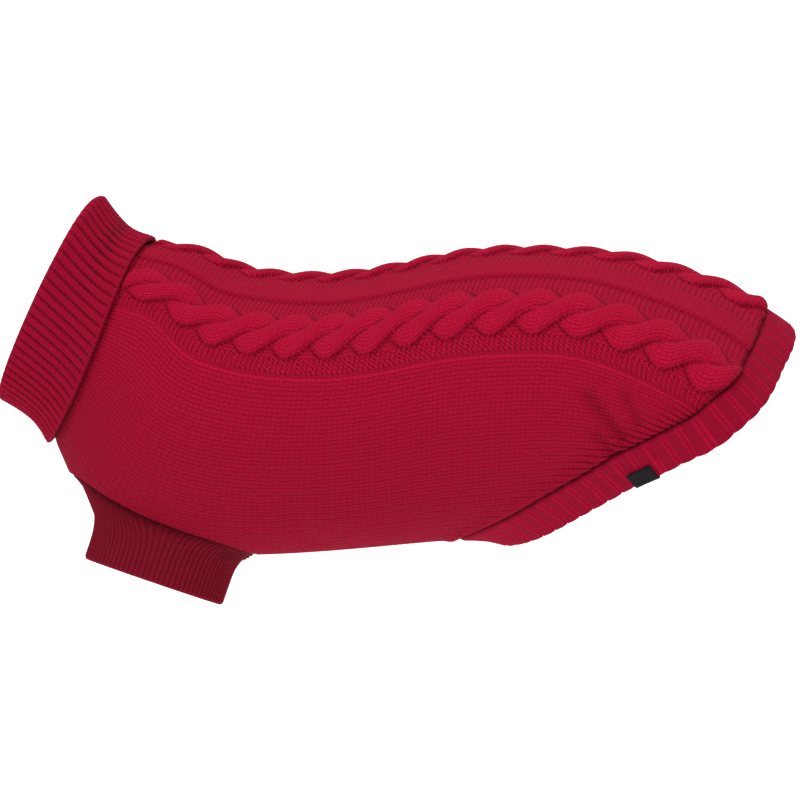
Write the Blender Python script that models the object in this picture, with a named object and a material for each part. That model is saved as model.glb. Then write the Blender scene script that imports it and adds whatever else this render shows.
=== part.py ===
"""Cable-knit dog pullover: a folded ribbed collar, a back panel with two rope
cables beside a raised centre band, a belly panel, two ribbed sleeves, a ribbed
hem band and a folded woven label.

The neck points to -X and the tail to +X, +Z is up and +Y is the dog's right.
The origin lies on the inside of the back, just behind the withers. Sizes and
tables are in millimetres and are scaled to metres when a mesh is made.

A place on the body is given by two knitted directions: across, the distance
round a section from the spine (plus is the right side), and course, the
distance from the neck seam along the cables.
"""

import math

import bpy
import numpy as np
from mathutils import Vector
from mathutils.geometry import delaunay_2d_cdt

MM = 0.001

# Cloth
WALL = 2.4                 # thickness of the plain knit
RIB_WALL = 2.6             # thickness of the ribbed knit between its ribs
SEAM_GAP = 0.3             # distance between two sewn edges
ORIGIN = (60.0, 0.0, -2.1)  # the holding point, on the inside of the back

# Body sections from the fold of the collar, through the neck seam, to past the
# tail. top and low are the ends of a section on the spine and under the belly,
# wide is its half width, waist is the share of its height that lies above the
# widest place, square_top and square_low are the powers of the two half
# outlines, sweep carries its sides back, roll turns it about the spine so that
# the left side hangs lower, draw is how far the wales are drawn together, and
# belly is half the width of the belly panel.
SECTION_COLUMNS = (
    "top_x", "top_z", "low_x", "low_z", "wide", "waist",
    "square_top", "square_low", "sweep", "roll", "draw", "belly",
)
SECTIONS = (
    (-92, 48, -150, -83, 51, 0.50, 2.1, 2.1, 1, 0, 0.62, 18),
    (-69, 22, -122, -103, 51, 0.50, 2.2, 2.1, 8, 1, 0.64, 18),
    (-33, 14, -105, -137, 61, 0.48, 2.4, 2.2, 4, 2, 0.68, 24),
    (-5, 2, -79, -163, 69, 0.48, 2.6, 2.3, 1, 3, 0.82, 30),
    (25, -1, -25, -177, 73, 0.48, 2.6, 2.3, 0, 2, 0.93, 30),
    (65, 1, 40, -172, 75, 0.48, 2.9, 2.2, 0, 2, 1.00, 30),
    (110, 13, 103, -161, 75, 0.47, 2.9, 2.1, 0, 3, 1.03, 30),
    (155, 27, 151, -151, 74, 0.46, 2.7, 2.1, 0, 3, 1.00, 30),
    (200, 33, 195, -141, 72, 0.46, 2.7, 2.1, 0, 2, 0.97, 30),
    (240, 32, 228, -128, 72, 0.46, 2.8, 2.1, 0, 3, 0.95, 30),
    (280, 23, 258, -110, 71, 0.46, 2.8, 2.1, 0, 5, 0.97, 30),
    (316, 9, 284, -93, 70, 0.46, 2.8, 2.1, 0, 7, 1.00, 30),
    (345, -13, 306, -80, 68, 0.46, 2.8, 2.1, 0, 9, 1.02, 30),
)
NECK_SECTION = 1.0         # the section of the neck seam
CABLE_PATH = 60.0          # courses are counted along this distance from the spine
PHI_STEPS = 240            # steps round half a section when its length is measured

# Lengthwise pattern of the back panel, as distances from the spine
BAND_HALF = 11.0           # half width of the centre band
BAND_RISE = 2.0
BAND_EDGE = 1.5            # half width of the slope at the band's edge
CABLE_MIDDLE = 45.0        # middle line of each rope cable
CABLE_HALF = 17.0
CABLE_BED = 1.8            # height of the cable between its strands
STRAND_HALF = 9.8          # half width of one of a cable's two strands
STRAND_SWING = 8.4         # how far a strand swings to either side
STRAND_RISE = 4.0
STRAND_LIFT = 1.9          # how far the upper strand passes over the lower one
CROSSING = 26.2            # distance from one crossing to the next
FIRST_CROSSING = 14.0      # course at which the strands first cross
RIDGE = 73.0               # where the plain side begins
SIDE_RISE = 1.0            # plain knit stands this much above the purl ground
SIDE_SLOPE = (-3.0, 1.0)   # the slope up to it, from the ridge
SIDE_EDGE = 216.0          # wale distance of the side seam
RELIEF_START = 7.0         # the relief grows from here
RELIEF_FULL = 22.0         # and is whole from here

# Soft folds: two ends (wale distance on the left side, course), width and depth
FOLD_COLUMNS = ("wale_a", "course_a", "wale_b", "course_b", "width", "depth", "side")
FOLDS = (
    (96, 330, 118, 356, 5.0, 2.2, -1),
    (88, 352, 104, 366, 4.0, 1.4, -1),
    (120, 338, 132, 352, 4.5, 1.6, -1),
    (100, 326, 120, 350, 5.5, 2.0, 1),
    (130, 300, 146, 326, 5.0, 1.5, 1),
    (150, 150, 186, 158, 7.0, 1.6, -1),
    (146, 154, 184, 166, 7.0, 1.8, 1),
)

# Hem seam from the tail to the middle of the belly: share of the half girth, course
HEM = (
    (0.000, 413.5), (0.150, 413.5), (0.260, 410), (0.343, 403), (0.404, 394),
    (0.486, 373), (0.541, 353), (0.605, 330), (0.664, 305), (0.740, 276),
    (0.793, 257), (0.850, 243), (0.920, 237), (1.000, 236),
)
HEM_WIDTH_TAIL = 23.5
HEM_WIDTH_BELLY = 27.5
HEM_TUCK_TAIL = 0.5        # the hem's edge turns in by this much at the tail
HEM_TUCK_BELLY = -2.5      # and stands off by this much under the belly
HEM_RIBS = 56
HEM_RIB_RISE = 1.2
HEM_EDGE_DROP = 0.4        # its ribs flatten by this much at the edge
HEM_STEP_IN = 0.8          # its inner seam edge lies this much deeper
HEM_SHARES = (0.12, 0.5)   # rows of its outer face
HEM_BACK_STEPS = 144       # steps of the hem seam on the back panel
HEM_BELLY_STEPS = 24

# Armholes, on the side seam; sizes are along the courses and round the body
ARM_MIDDLE = 81.0
ARM_LENGTH = 48.0          # half length
ARM_UP = 46.0              # reach into the back panel
ARM_DOWN = 16.0            # reach into the belly panel
ARM_SQUARE = 2.2           # power of the armhole's outline
SLEEVE_RIM_MIDDLE = (-41.0, -45.0, -189.0)
SLEEVE_RIM_ALONG = (44.0, 0.0, -10.5)
SLEEVE_RIM_OUT = (0.0, -31.0, 18.5)
SLEEVE_MIRROR = 5.0        # the right rim mirrors the left one about this y
SLEEVE_DRAW_FRONT = 4.0    # how soon the sleeve draws in from its armhole
SLEEVE_DRAW_REAR = 9.0
SLEEVE_DRAW_INNER = 1.0    # on the side next to the belly
SLEEVE_INNER = (-0.7, 0.0)  # sine of the angle at which that side ends and the outer one starts
SLEEVE_GAP = 0.4           # distance from its start to the edges of the panels
SLEEVE_START_LIFT = 0.4    # its seam stands this much off the body
SLEEVE_RIM_ROUND = 0.5
SLEEVE_SHARES = (0.15, 0.5, 0.95)  # rows of the outer wall, from the armhole to the rim
SLEEVE_BLEND = 4           # steps to either side over which its wall's direction is taken
SLEEVE_RIBS = 56
SLEEVE_RIB_RISE = 0.9

# Collar: the inner layer rises from the neck seam, folds over and comes down
COLLAR_RIBS = 64
COLLAR_RIB_RISE = 1.3
COLLAR_FREE = 11.0         # the free edge lies this far past the neck seam
COLLAR_OVER = 2.2          # gap between the free edge and the body
COLLAR_LAYER = 2.8
COLLAR_INNER_TOP = 0.2     # outer face of the inner layer
COLLAR_BETWEEN = 0.8       # gap between the layers
COLLAR_FOLD_IN = 2.0       # the gap ends this far from the fold's inner curve
COLLAR_FOLD_SHARE = 0.3    # where the fold's shoulders lie, as a share of its radius
COLLAR_FOLD_RIBS = (0.3, 0.6, 1.0)  # how far the ribs rise over the fold
COLLAR_EDGE_BACK = 1.0     # the free edge is rounded over this length
COLLAR_EDGE_RIBS = 0.5
COLLAR_HALFWAY = 1.0 / 3.0  # place of the rows between seam and fold

# Woven label folded over the hem
LABEL_WIDE = 17.0
LABEL_HIGH = 11.0
LABEL_THICK = 0.8
LABEL_COURSE = 359.0       # its middle, on the left side
LABEL_STATIONS = 7
LABEL_EDGE_DROP = 0.4      # it drops this much towards the hem's edge
LABEL_SLACK = 0.6          # and hangs this much off the hem's inside

# Mesh points of the panels: wale distances and steps along the courses
CABLE_COLUMNS = 9
CABLE_ROW = CROSSING / 5.0
CABLE_CLEAR = 2.0          # mesh points keep this far from the panel's edges
GROUND_WALES = (9.0, 14.0, 22.0, 71.0, 77.0)
GROUND_ROW = 9.0
GROUND_CLEAR = 3.0
PLAIN_WALES = (91.0, 108.0, 126.0, 144.0, 162.0, 180.0, 198.0)
PLAIN_ROW = 17.0
PLAIN_CLEAR = 6.0
INSIDE_WALE = 200.0
INSIDE_COLUMNS = 25
NECK_STEPS = 44
BELLY_WALES = (-22.0, -11.0, 0.0, 11.0, 22.0)
BELLY_ROW = 13.0
BELLY_CLEAR = 4.5
BELLY_NECK_STEPS = 4
FRONT_SEAM_STEPS = 7
REAR_SEAM_STEPS = 8

CHERRY = (0.35, 0.008, 0.03)
CHERRY_DARK = (0.24, 0.006, 0.02)
BLACK_SATIN = (0.012, 0.010, 0.011)


def spline(values):
    """Natural cubic through values at 0, 1, 2 ..., returned as a function."""
    y = np.asarray(values, float)
    n = len(y)
    matrix = np.eye(n)
    rhs = np.zeros(n)
    for i in range(1, n - 1):
        matrix[i, i - 1:i + 2] = (1.0, 4.0, 1.0)
        rhs[i] = 6.0 * (y[i - 1] - 2.0 * y[i] + y[i + 1])
    bend = np.linalg.solve(matrix, rhs)

    def at(t):
        t = np.asarray(t, float)
        i = np.clip(np.floor(t).astype(int), 0, n - 2)
        u = t - i
        w = 1.0 - u
        return (
            w * y[i] + u * y[i + 1]
            + (w ** 3 - w) * bend[i] / 6.0 + (u ** 3 - u) * bend[i + 1] / 6.0
        )

    return at


SECTION_AT = {
    name: spline([row[i] for row in SECTIONS]) for i, name in enumerate(SECTION_COLUMNS)
}
LAST_SECTION = len(SECTIONS) - 1.0


def section_points(t, phi):
    """Points of the sections t at the angles phi from the spine; +phi is the right side."""
    row = {name: at(t) for name, at in SECTION_AT.items()}
    up_x = row["top_x"] - row["low_x"]
    up_z = row["top_z"] - row["low_z"]
    height = np.hypot(up_x, up_z)
    upper = np.cos(phi) >= 0.0
    power = 2.0 / np.where(upper, row["square_top"], row["square_low"])
    reach = np.where(upper, row["waist"], 1.0 - row["waist"]) * height
    y = row["wide"] * np.sign(np.sin(phi)) * np.abs(np.sin(phi)) ** power
    rise = reach * np.sign(np.cos(phi)) * np.abs(np.cos(phi)) ** power
    drop = row["waist"] * height - rise
    roll = np.radians(row["roll"])
    turned_drop = drop * np.cos(roll) - y * np.sin(roll)
    back = row["sweep"] * (y / row["wide"]) ** 2
    return np.stack([
        row["top_x"] + (back * up_z - turned_drop * up_x) / height,
        y * np.cos(roll) + drop * np.sin(roll),
        row["top_z"] - (back * up_x + turned_drop * up_z) / height,
    ], axis=-1)


def half_lengths(t, side):
    """Lengths round half of each section, at PHI_STEPS + 1 angles."""
    phi = np.linspace(0.0, math.pi, PHI_STEPS + 1)
    points = section_points(t[:, None], side * phi[None, :])
    steps = np.linalg.norm(np.diff(points, axis=1), axis=2)
    return phi, np.concatenate([np.zeros((len(t), 1)), np.cumsum(steps, axis=1)], axis=1)


def points_by_section(t, across):
    """Points at the sections t and the distances across from the spine."""
    t, across = np.broadcast_arrays(np.asarray(t, float), np.asarray(across, float))
    shape = t.shape
    t = t.ravel()
    across = across.ravel()
    rows, row_of = np.unique(np.round(t, 7), return_inverse=True)
    row_of = row_of.ravel()
    angle = np.zeros(len(t))
    for side in (1.0, -1.0):
        phi, length = half_lengths(rows, side)
        mine = across * side > 0.0
        order = np.argsort(row_of[mine], kind="stable")
        places = np.flatnonzero(mine)[order]
        starts = np.searchsorted(row_of[places], np.arange(len(rows) + 1))
        for k in range(len(rows)):
            pick = places[starts[k]:starts[k + 1]]
            if len(pick):
                angle[pick] = side * np.interp(np.abs(across[pick]), length[k], phi)
    return section_points(t, angle).reshape(shape + (3,))


def running_length(points):
    """Length along a line of points, from its start."""
    steps = np.linalg.norm(np.diff(points, axis=0), axis=1)
    return np.concatenate([[0.0], np.cumsum(steps)])


def course_table():
    """Courses of evenly spaced sections, counted along the cable path."""
    t = np.linspace(0.0, LAST_SECTION, 241)
    path = points_by_section(t, -CABLE_PATH * SECTION_AT["draw"](t))
    course = running_length(path)
    return t, course - np.interp(NECK_SECTION, t, course)


TABLE_T, TABLE_COURSE = course_table()


def section_of(course):
    return np.interp(course, TABLE_COURSE, TABLE_T)


def half_girth(course, side):
    """Length round one half of the body at each course."""
    course = np.atleast_1d(np.asarray(course, float))
    return half_lengths(section_of(course), side)[1][:, -1]


def belly_half(course):
    return SECTION_AT["belly"](section_of(course))


def across_of(wale, course):
    """Distance from the spine of a wale, which keeps its number from neck to tail."""
    wale, course = np.broadcast_arrays(np.asarray(wale, float), np.asarray(course, float))
    draw = SECTION_AT["draw"](section_of(course))
    seam = np.empty(wale.shape)
    for side in (1.0, -1.0):
        mine = (wale >= 0.0) if side > 0.0 else (wale < 0.0)
        if mine.any():
            seam[mine] = half_girth(course[mine], side) - belly_half(course[mine])
    ridge = draw * RIDGE
    past = (np.abs(wale) - RIDGE) / (SIDE_EDGE - RIDGE)
    far = ridge + past * (seam - ridge)
    return np.sign(wale) * np.where(np.abs(wale) <= RIDGE, draw * np.abs(wale), far)


def wale_of(across, course):
    """The wale at a distance from the spine."""
    across, course = np.broadcast_arrays(np.asarray(across, float), np.asarray(course, float))
    draw = SECTION_AT["draw"](section_of(course))
    seam = np.empty(across.shape)
    for side in (1.0, -1.0):
        mine = (across >= 0.0) if side > 0.0 else (across < 0.0)
        if mine.any():
            seam[mine] = half_girth(course[mine], side) - belly_half(course[mine])
    ridge = draw * RIDGE
    far = RIDGE + (np.abs(across) - ridge) / (seam - ridge) * (SIDE_EDGE - RIDGE)
    return np.sign(across) * np.where(np.abs(across) <= ridge, np.abs(across) / draw, far)


def body(across, course):
    """Points on the body, and its outward normals."""
    across, course = np.broadcast_arrays(np.asarray(across, float), np.asarray(course, float))
    step = 0.5
    t = section_of(course)
    along = (
        points_by_section(section_of(course + step), across)
        - points_by_section(section_of(course - step), across)
    )
    round_body = points_by_section(t, across + step) - points_by_section(t, across - step)
    normal = np.cross(along, round_body)
    normal /= np.linalg.norm(normal, axis=-1, keepdims=True)
    return points_by_section(t, across), normal


def ramp(value, start, end):
    share = np.clip((value - start) / (end - start), 0.0, 1.0)
    return share * share * (3.0 - 2.0 * share)


def rope(aside, course):
    """Height of a two-strand rope cable at a distance aside from its middle line."""
    turn = math.pi * (course - FIRST_CROSSING) / CROSSING
    bed = np.sqrt(np.clip(1.0 - (aside / CABLE_HALF) ** 2, 0.0, None))
    height = CABLE_BED * bed * np.ones(np.broadcast(aside, course).shape)
    for way in (1.0, -1.0):
        middle = way * STRAND_SWING * np.sin(turn)
        lift = way * STRAND_LIFT * np.cos(turn)
        inside = np.clip(1.0 - ((aside - middle) / STRAND_HALF) ** 2, 0.0, None)
        strand = np.where(inside > 0.0, lift + STRAND_RISE * np.sqrt(inside), 0.0)
        height = np.maximum(height, strand)
    return height


def folds(wale, course):
    """Depth of the soft folds, as a sum of troughs along short lines."""
    depth = np.zeros(np.broadcast(wale, course).shape)
    for row in FOLDS:
        fold = dict(zip(FOLD_COLUMNS, row))
        a = np.array([fold["side"] * fold["wale_a"], fold["course_a"]], float)
        b = np.array([fold["side"] * fold["wale_b"], fold["course_b"]], float)
        span = b - a
        share = ((wale - a[0]) * span[0] + (course - a[1]) * span[1]) / (span @ span)
        share = np.clip(share, 0.0, 1.0)
        away = np.hypot(wale - a[0] - share * span[0], course - a[1] - share * span[1])
        depth += fold["depth"] * np.exp(-(away / fold["width"]) ** 2)
    return depth


def back_relief(wale, course):
    """Height of the back panel's pattern above the purl ground."""
    away = np.abs(wale)
    band = BAND_RISE * (1.0 - ramp(away, BAND_HALF - BAND_EDGE, BAND_HALF + BAND_EDGE))
    side = SIDE_RISE * ramp(away - RIDGE, *SIDE_SLOPE)
    cable = rope(wale - np.sign(wale) * CABLE_MIDDLE, course)
    grown = ramp(course, RELIEF_START, RELIEF_FULL)
    return grown * (band + np.maximum(side, cable)) - folds(wale, course)


def inside_outline(points, outline):
    """Which points lie inside a closed outline."""
    x, y = points[:, 0], points[:, 1]
    inside = np.zeros(len(points), bool)
    for a, b in zip(outline, np.roll(outline, -1, axis=0)):
        crosses = (a[1] > y) != (b[1] > y)
        if not crosses.any():
            continue
        at = a[0] + (y - a[1]) * (b[0] - a[0]) / (b[1] - a[1] if b[1] != a[1] else 1.0)
        inside ^= crosses & (x < at)
    return inside


def clear_of_outline(points, outline, margin):
    """Which points lie at least margin from every edge of an outline."""
    clear = np.ones(len(points), bool)
    for a, b in zip(outline, np.roll(outline, -1, axis=0)):
        span = b - a
        share = np.clip(((points - a) @ span) / max(span @ span, 1e-12), 0.0, 1.0)
        away = np.linalg.norm(points - a - share[:, None] * span, axis=1)
        clear &= away > margin
    return clear


def triangulate(outline, grid):
    """Triangles over an outline and the grid points inside it, outline points first."""
    points = np.concatenate([outline, grid])
    count = len(outline)
    edges = [(i, (i + 1) % count) for i in range(count)]
    verts, _, faces, origins, _, _ = delaunay_2d_cdt(
        [Vector(p) for p in points], edges, [], 1, 1e-4
    )
    source = [ids[0] for ids in origins]
    if len(verts) != len(points) or sorted(source) != list(range(len(points))):
        raise RuntimeError("the panel's points don't match its triangles")
    return points, [tuple(source[i] for i in face) for face in faces]


def signed_volume(points, faces):
    a, b, c = (points[[f[k] for f in faces]] for k in range(3))
    return float(np.einsum("ij,ij->i", a, np.cross(b, c)).sum()) / 6.0


def make_material(name, colour, roughness):
    material = bpy.data.materials.new(name)
    material.use_nodes = True
    shader = material.node_tree.nodes["Principled BSDF"]
    shader.inputs["Base Color"].default_value = (*colour, 1.0)
    shader.inputs["Roughness"].default_value = roughness
    shader.inputs["Metallic"].default_value = 0.0
    return material


def make_object(name, points, faces, material):
    """A closed mesh object from points in millimetres."""
    if signed_volume(points, faces) < 0.0:
        faces = [face[::-1] for face in faces]
    mesh = bpy.data.meshes.new(name)
    mesh.from_pydata(((points - ORIGIN) * MM).tolist(), [], faces)
    mesh.shade_smooth()
    mesh.materials.append(material)
    piece = bpy.data.objects.new(name, mesh)
    bpy.context.scene.collection.objects.link(piece)
    return piece


def panel_solid(name, outline, outer_grid, inner_grid, place, material):
    """A sewn panel: an outer and an inner sheet over one outline, joined by its edges."""
    x, y = outline[:, 0], outline[:, 1]
    if np.sum(x * np.roll(y, -1) - y * np.roll(x, -1)) < 0.0:
        outline = outline[::-1]
    outer_flat, outer_faces = triangulate(outline, outer_grid)
    inner_flat, inner_faces = triangulate(outline, inner_grid)
    shift = len(outer_flat)
    count = len(outline)
    faces = list(outer_faces)
    faces += [(a + shift, c + shift, b + shift) for a, b, c in inner_faces]
    for i in range(count):
        j = (i + 1) % count
        faces += [(j, i, i + shift), (j, i + shift, j + shift)]
    points = np.concatenate([place(outer_flat, True), place(inner_flat, False)])
    return make_object(name, points, faces, material)


def ring_solid(name, rows, material):
    """A band that closes on itself: rows of points round it, in the order of its profile."""
    rows = [np.asarray(row) for row in rows]
    count = len(rows[0])
    faces = []
    for r in range(len(rows)):
        here, there = r * count, (r + 1) % len(rows) * count
        for i in range(count):
            j = (i + 1) % count
            faces += [(here + i, here + j, there + j), (here + i, there + j, there + i)]
    return make_object(name, np.concatenate(rows), faces, material)


def hem_curve():
    """Places of the hem seam: share of the half girth, and course."""
    share_at = spline([row[0] for row in HEM])
    course_at = spline([row[1] for row in HEM])
    return share_at, course_at, len(HEM) - 1.0


def hem_places():
    """Places round the hem seam from the left side seam over the tail and back under the belly."""
    share_at, course_at, end = hem_curve()
    halves = {}
    for side in (-1.0, 1.0):
        q = np.linspace(0.0, end, 401)
        course = course_at(q)
        across = share_at(q) * half_girth(course, side)
        seam = half_girth(course, side) - belly_half(course)
        points = points_by_section(section_of(course), side * across)
        length = running_length(points)
        cut = float(np.interp(0.0, across - seam, q))
        halves[side] = (q, length, cut)
    places = []
    for side, belly in ((-1.0, False), (1.0, False), (1.0, True), (-1.0, True)):
        q, length, cut = halves[side]
        cut_length = float(np.interp(cut, q, length))
        steps = (HEM_BELLY_STEPS if belly else HEM_BACK_STEPS) // 2
        ends = (cut_length, length[-1]) if belly else (0.0, cut_length)
        marks = np.interp(np.linspace(*ends, steps + 1), length, q)
        if side < 0.0:
            marks = marks[::-1]
        course = course_at(marks)
        across = side * share_at(marks) * half_girth(course, side)
        places.append(np.stack([across, course], axis=1)[:-1])
    return np.concatenate(places)


def arm_place(angle, side, inset):
    """Places round an armhole; angle 0 is its rear end, 90 degrees its upper edge."""
    cos, sin = np.cos(angle), np.sin(angle)
    power = 2.0 / ARM_SQUARE
    course = ARM_MIDDLE + (ARM_LENGTH - inset) * np.sign(cos) * np.abs(cos) ** power
    reach = np.where(sin > 0.0, ARM_UP, ARM_DOWN) - inset
    from_belly = belly_half(course) + reach * np.sign(sin) * np.abs(sin) ** power
    return np.stack([side * (half_girth(course, side) - from_belly), course], axis=1)


def seam_courses(hem_course):
    """Courses of the side seam's points before and behind the armhole."""
    front = np.linspace(0.0, ARM_MIDDLE - ARM_LENGTH, FRONT_SEAM_STEPS + 1)
    rear = np.linspace(ARM_MIDDLE + ARM_LENGTH, hem_course, REAR_SEAM_STEPS + 1)
    return front, rear


def seam_points(course, side, shift):
    across = half_girth(course, side) - belly_half(course) + shift
    return np.stack([side * across, course], axis=1)


def arm_angles():
    count = 2 * SLEEVE_RIBS
    return 2.0 * math.pi * np.arange(count) / count


def build_back(hem):
    """The back panel, from side seam to side seam, with its cables and centre band."""
    half = SEAM_GAP / 2.0
    hem_back = hem[:HEM_BACK_STEPS + 1]
    angle = arm_angles()
    upper = angle[(angle > 1e-6) & (angle < math.pi - 1e-6)]
    outline = []
    for side, corner in ((-1.0, hem_back[0]), (1.0, hem_back[-1])):
        front, rear = seam_courses(corner[1])
        arm = arm_place(upper[::-1], side, 0.0)
        edge = np.concatenate([
            seam_points(front, side, -half), arm, seam_points(rear, side, -half),
        ])
        outline.append(edge)
    neck = np.linspace(-SIDE_EDGE, SIDE_EDGE, NECK_STEPS + 1)[1:-1]
    neck = np.stack([across_of(neck, np.zeros(len(neck))), np.zeros(len(neck))], axis=1)
    ring = np.concatenate([outline[0], hem_back[1:-1], outline[1][::-1], neck[::-1]])
    flat = np.stack([wale_of(ring[:, 0], ring[:, 1]), ring[:, 1]], axis=1)

    cable = CABLE_MIDDLE + np.linspace(-CABLE_HALF, CABLE_HALF, CABLE_COLUMNS)
    inside = np.linspace(-INSIDE_WALE, INSIDE_WALE, INSIDE_COLUMNS)
    outer_grid = np.concatenate([
        grid_inside(flat, both_sides(cable), CABLE_ROW, CABLE_CLEAR),
        grid_inside(flat, both_sides((0.0, *GROUND_WALES)), GROUND_ROW, GROUND_CLEAR),
        grid_inside(flat, both_sides(PLAIN_WALES), PLAIN_ROW, PLAIN_CLEAR),
    ])
    inner_grid = grid_inside(flat, inside, PLAIN_ROW, PLAIN_CLEAR)

    def place(points, outside):
        wale, course = points[:, 0], points[:, 1]
        spot, normal = body(across_of(wale, course), course)
        height = back_relief(wale, course) if outside else -WALL - folds(wale, course)
        return spot + normal * height[:, None]

    material = make_material("wool knit, back panel", CHERRY, 0.9)
    return panel_solid("back_panel", flat, outer_grid, inner_grid, place, material)


def both_sides(wales):
    """The wales of one side and of the other."""
    return np.unique(np.concatenate([np.negative(wales), wales]))


def grid_inside(outline, wales, step, margin):
    """Points on the wales, a step apart along the courses, that lie well inside an outline."""
    courses = np.arange(step, outline[:, 1].max(), step)
    points = np.stack(np.meshgrid(wales, courses, indexing="ij"), axis=-1).reshape(-1, 2)
    points = points[inside_outline(points, outline)]
    return points[clear_of_outline(points, outline, margin)]


def build_belly(hem):
    """The belly panel, between the side seams and the armholes."""
    half = SEAM_GAP / 2.0
    hem_belly = np.concatenate([hem[HEM_BACK_STEPS:], hem[:1]])
    angle = arm_angles()
    lower = angle[angle > math.pi + 1e-6]
    edges = []
    for side, corner in ((1.0, hem_belly[0]), (-1.0, hem_belly[-1])):
        front, rear = seam_courses(corner[1])
        edges.append(np.concatenate([
            seam_points(front, side, half), arm_place(lower, side, 0.0),
            seam_points(rear, side, half),
        ]))
    neck_half = float(belly_half(0.0))
    neck = np.linspace(-neck_half, neck_half, BELLY_NECK_STEPS + 1)[1:-1]
    neck = np.stack([neck, np.zeros(len(neck))], axis=1)
    flat_hem = to_belly(hem_belly[1:-1])
    ring = np.concatenate([to_belly(edges[0]), flat_hem, to_belly(edges[1])[::-1], neck])
    grid = grid_inside(ring, BELLY_WALES, BELLY_ROW, BELLY_CLEAR)

    def place(points, outside):
        side = np.where(points[:, 0] >= 0.0, 1.0, -1.0)
        across = np.empty(len(points))
        for way in (1.0, -1.0):
            mine = side == way
            across[mine] = way * (
                half_girth(points[mine, 1], way) - np.abs(points[mine, 0])
            )
        spot, normal = body(across, points[:, 1])
        height = SIDE_RISE * ramp(points[:, 1], RELIEF_START, RELIEF_FULL) if outside else -WALL
        return spot + normal * np.reshape(height, (-1, 1))

    material = make_material("wool knit, belly panel", CHERRY, 0.9)
    return panel_solid("belly_panel", ring, grid, grid, place, material)


def to_belly(places):
    """Places measured from the spine as places measured from the middle of the belly."""
    out = places.copy()
    for side in (1.0, -1.0):
        mine = places[:, 0] * side > 0.0
        if mine.any():
            out[mine, 0] = side * (half_girth(places[mine, 1], side) - np.abs(places[mine, 0]))
    return out


def hem_frame(hem):
    """Places, outward normals and the directions away from the body round the hem seam."""
    spot, normal = body(hem[:, 0], hem[:, 1])
    spot = spot + normal * SIDE_RISE
    run = np.roll(spot, -1, axis=0) - np.roll(spot, 1, axis=0)
    run /= np.linalg.norm(run, axis=1, keepdims=True)
    away = np.cross(run, normal)
    away /= np.linalg.norm(away, axis=1, keepdims=True)
    rearness = ramp(hem[:, 1], HEM[-1][1], HEM[0][1])
    width = HEM_WIDTH_BELLY + (HEM_WIDTH_TAIL - HEM_WIDTH_BELLY) * rearness
    tuck = HEM_TUCK_BELLY + (HEM_TUCK_TAIL - HEM_TUCK_BELLY) * rearness

    def row(share, lift, past=0.0):
        reach = SEAM_GAP + (width - SEAM_GAP) * share + past
        height = lift - tuck * share ** 2
        return spot + away * reach[:, None] + normal * height[:, None]

    return row


def build_hem(hem):
    """The ribbed band that carries on from the hem seam."""
    row = hem_frame(hem)
    count = len(hem)
    rib = np.where(np.arange(count) % (count // HEM_RIBS) == 1, HEM_RIB_RISE, 0.0)
    plain = np.zeros(count)
    rows = [
        row(0.0, plain), *[row(share, rib) for share in HEM_SHARES],
        row(1.0, rib - HEM_EDGE_DROP), row(1.0, plain - RIB_WALL),
        row(0.0, plain - RIB_WALL - HEM_STEP_IN),
    ]
    material = make_material("wool rib, hem band", CHERRY, 0.9)
    return ring_solid("hem_band", rows, material)


def build_label(hem):
    """A woven label folded over the edge of the hem band, on the left side."""
    row = hem_frame(hem)
    length = running_length(row(1.0, np.zeros(len(hem))))
    left_half = slice(0, HEM_BACK_STEPS // 2)
    middle = np.interp(LABEL_COURSE, hem[left_half, 1], length[left_half])
    at = middle + np.linspace(-LABEL_WIDE / 2.0, LABEL_WIDE / 2.0, LABEL_STATIONS)
    up = 1.0 - LABEL_HIGH / HEM_WIDTH_BELLY
    top = HEM_RIB_RISE + SEAM_GAP
    edge_top = top - LABEL_EDGE_DROP
    under = -RIB_WALL - SEAM_GAP
    hung = under - LABEL_SLACK
    outer_past = SEAM_GAP + LABEL_THICK
    profile = (
        (up, top, 0.0), (1.0, edge_top, SEAM_GAP), (1.0, under, SEAM_GAP), (up, hung, 0.0),
        (up, hung - LABEL_THICK, 0.0), (1.0, under - LABEL_THICK, outer_past),
        (1.0, edge_top + LABEL_THICK, outer_past), (up, top + LABEL_THICK, 0.0),
    )
    loops = []
    for share, lift, past in profile:
        line = row(share, np.full(len(hem), lift), past)
        loops.append(np.stack([np.interp(at, length, line[:, k]) for k in range(3)], axis=1))
    points = np.stack(loops, axis=1)
    stations, count = points.shape[:2]
    faces = []
    for s in range(stations - 1):
        for i in range(count):
            j = (i + 1) % count
            a, b = s * count, (s + 1) * count
            faces += [(a + i, a + j, b + j), (a + i, b + j, b + i)]
    last = (stations - 1) * count
    for i in range(count // 2 - 1):
        k = count - 1 - i
        faces += [(k, i + 1, i), (k, k - 1, i + 1)]
        faces += [(last + k, last + i, last + i + 1), (last + k, last + i + 1, last + k - 1)]
    material = make_material("woven satin, label", BLACK_SATIN, 0.35)
    return make_object("label", points.reshape(-1, 3), faces, material)


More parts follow.
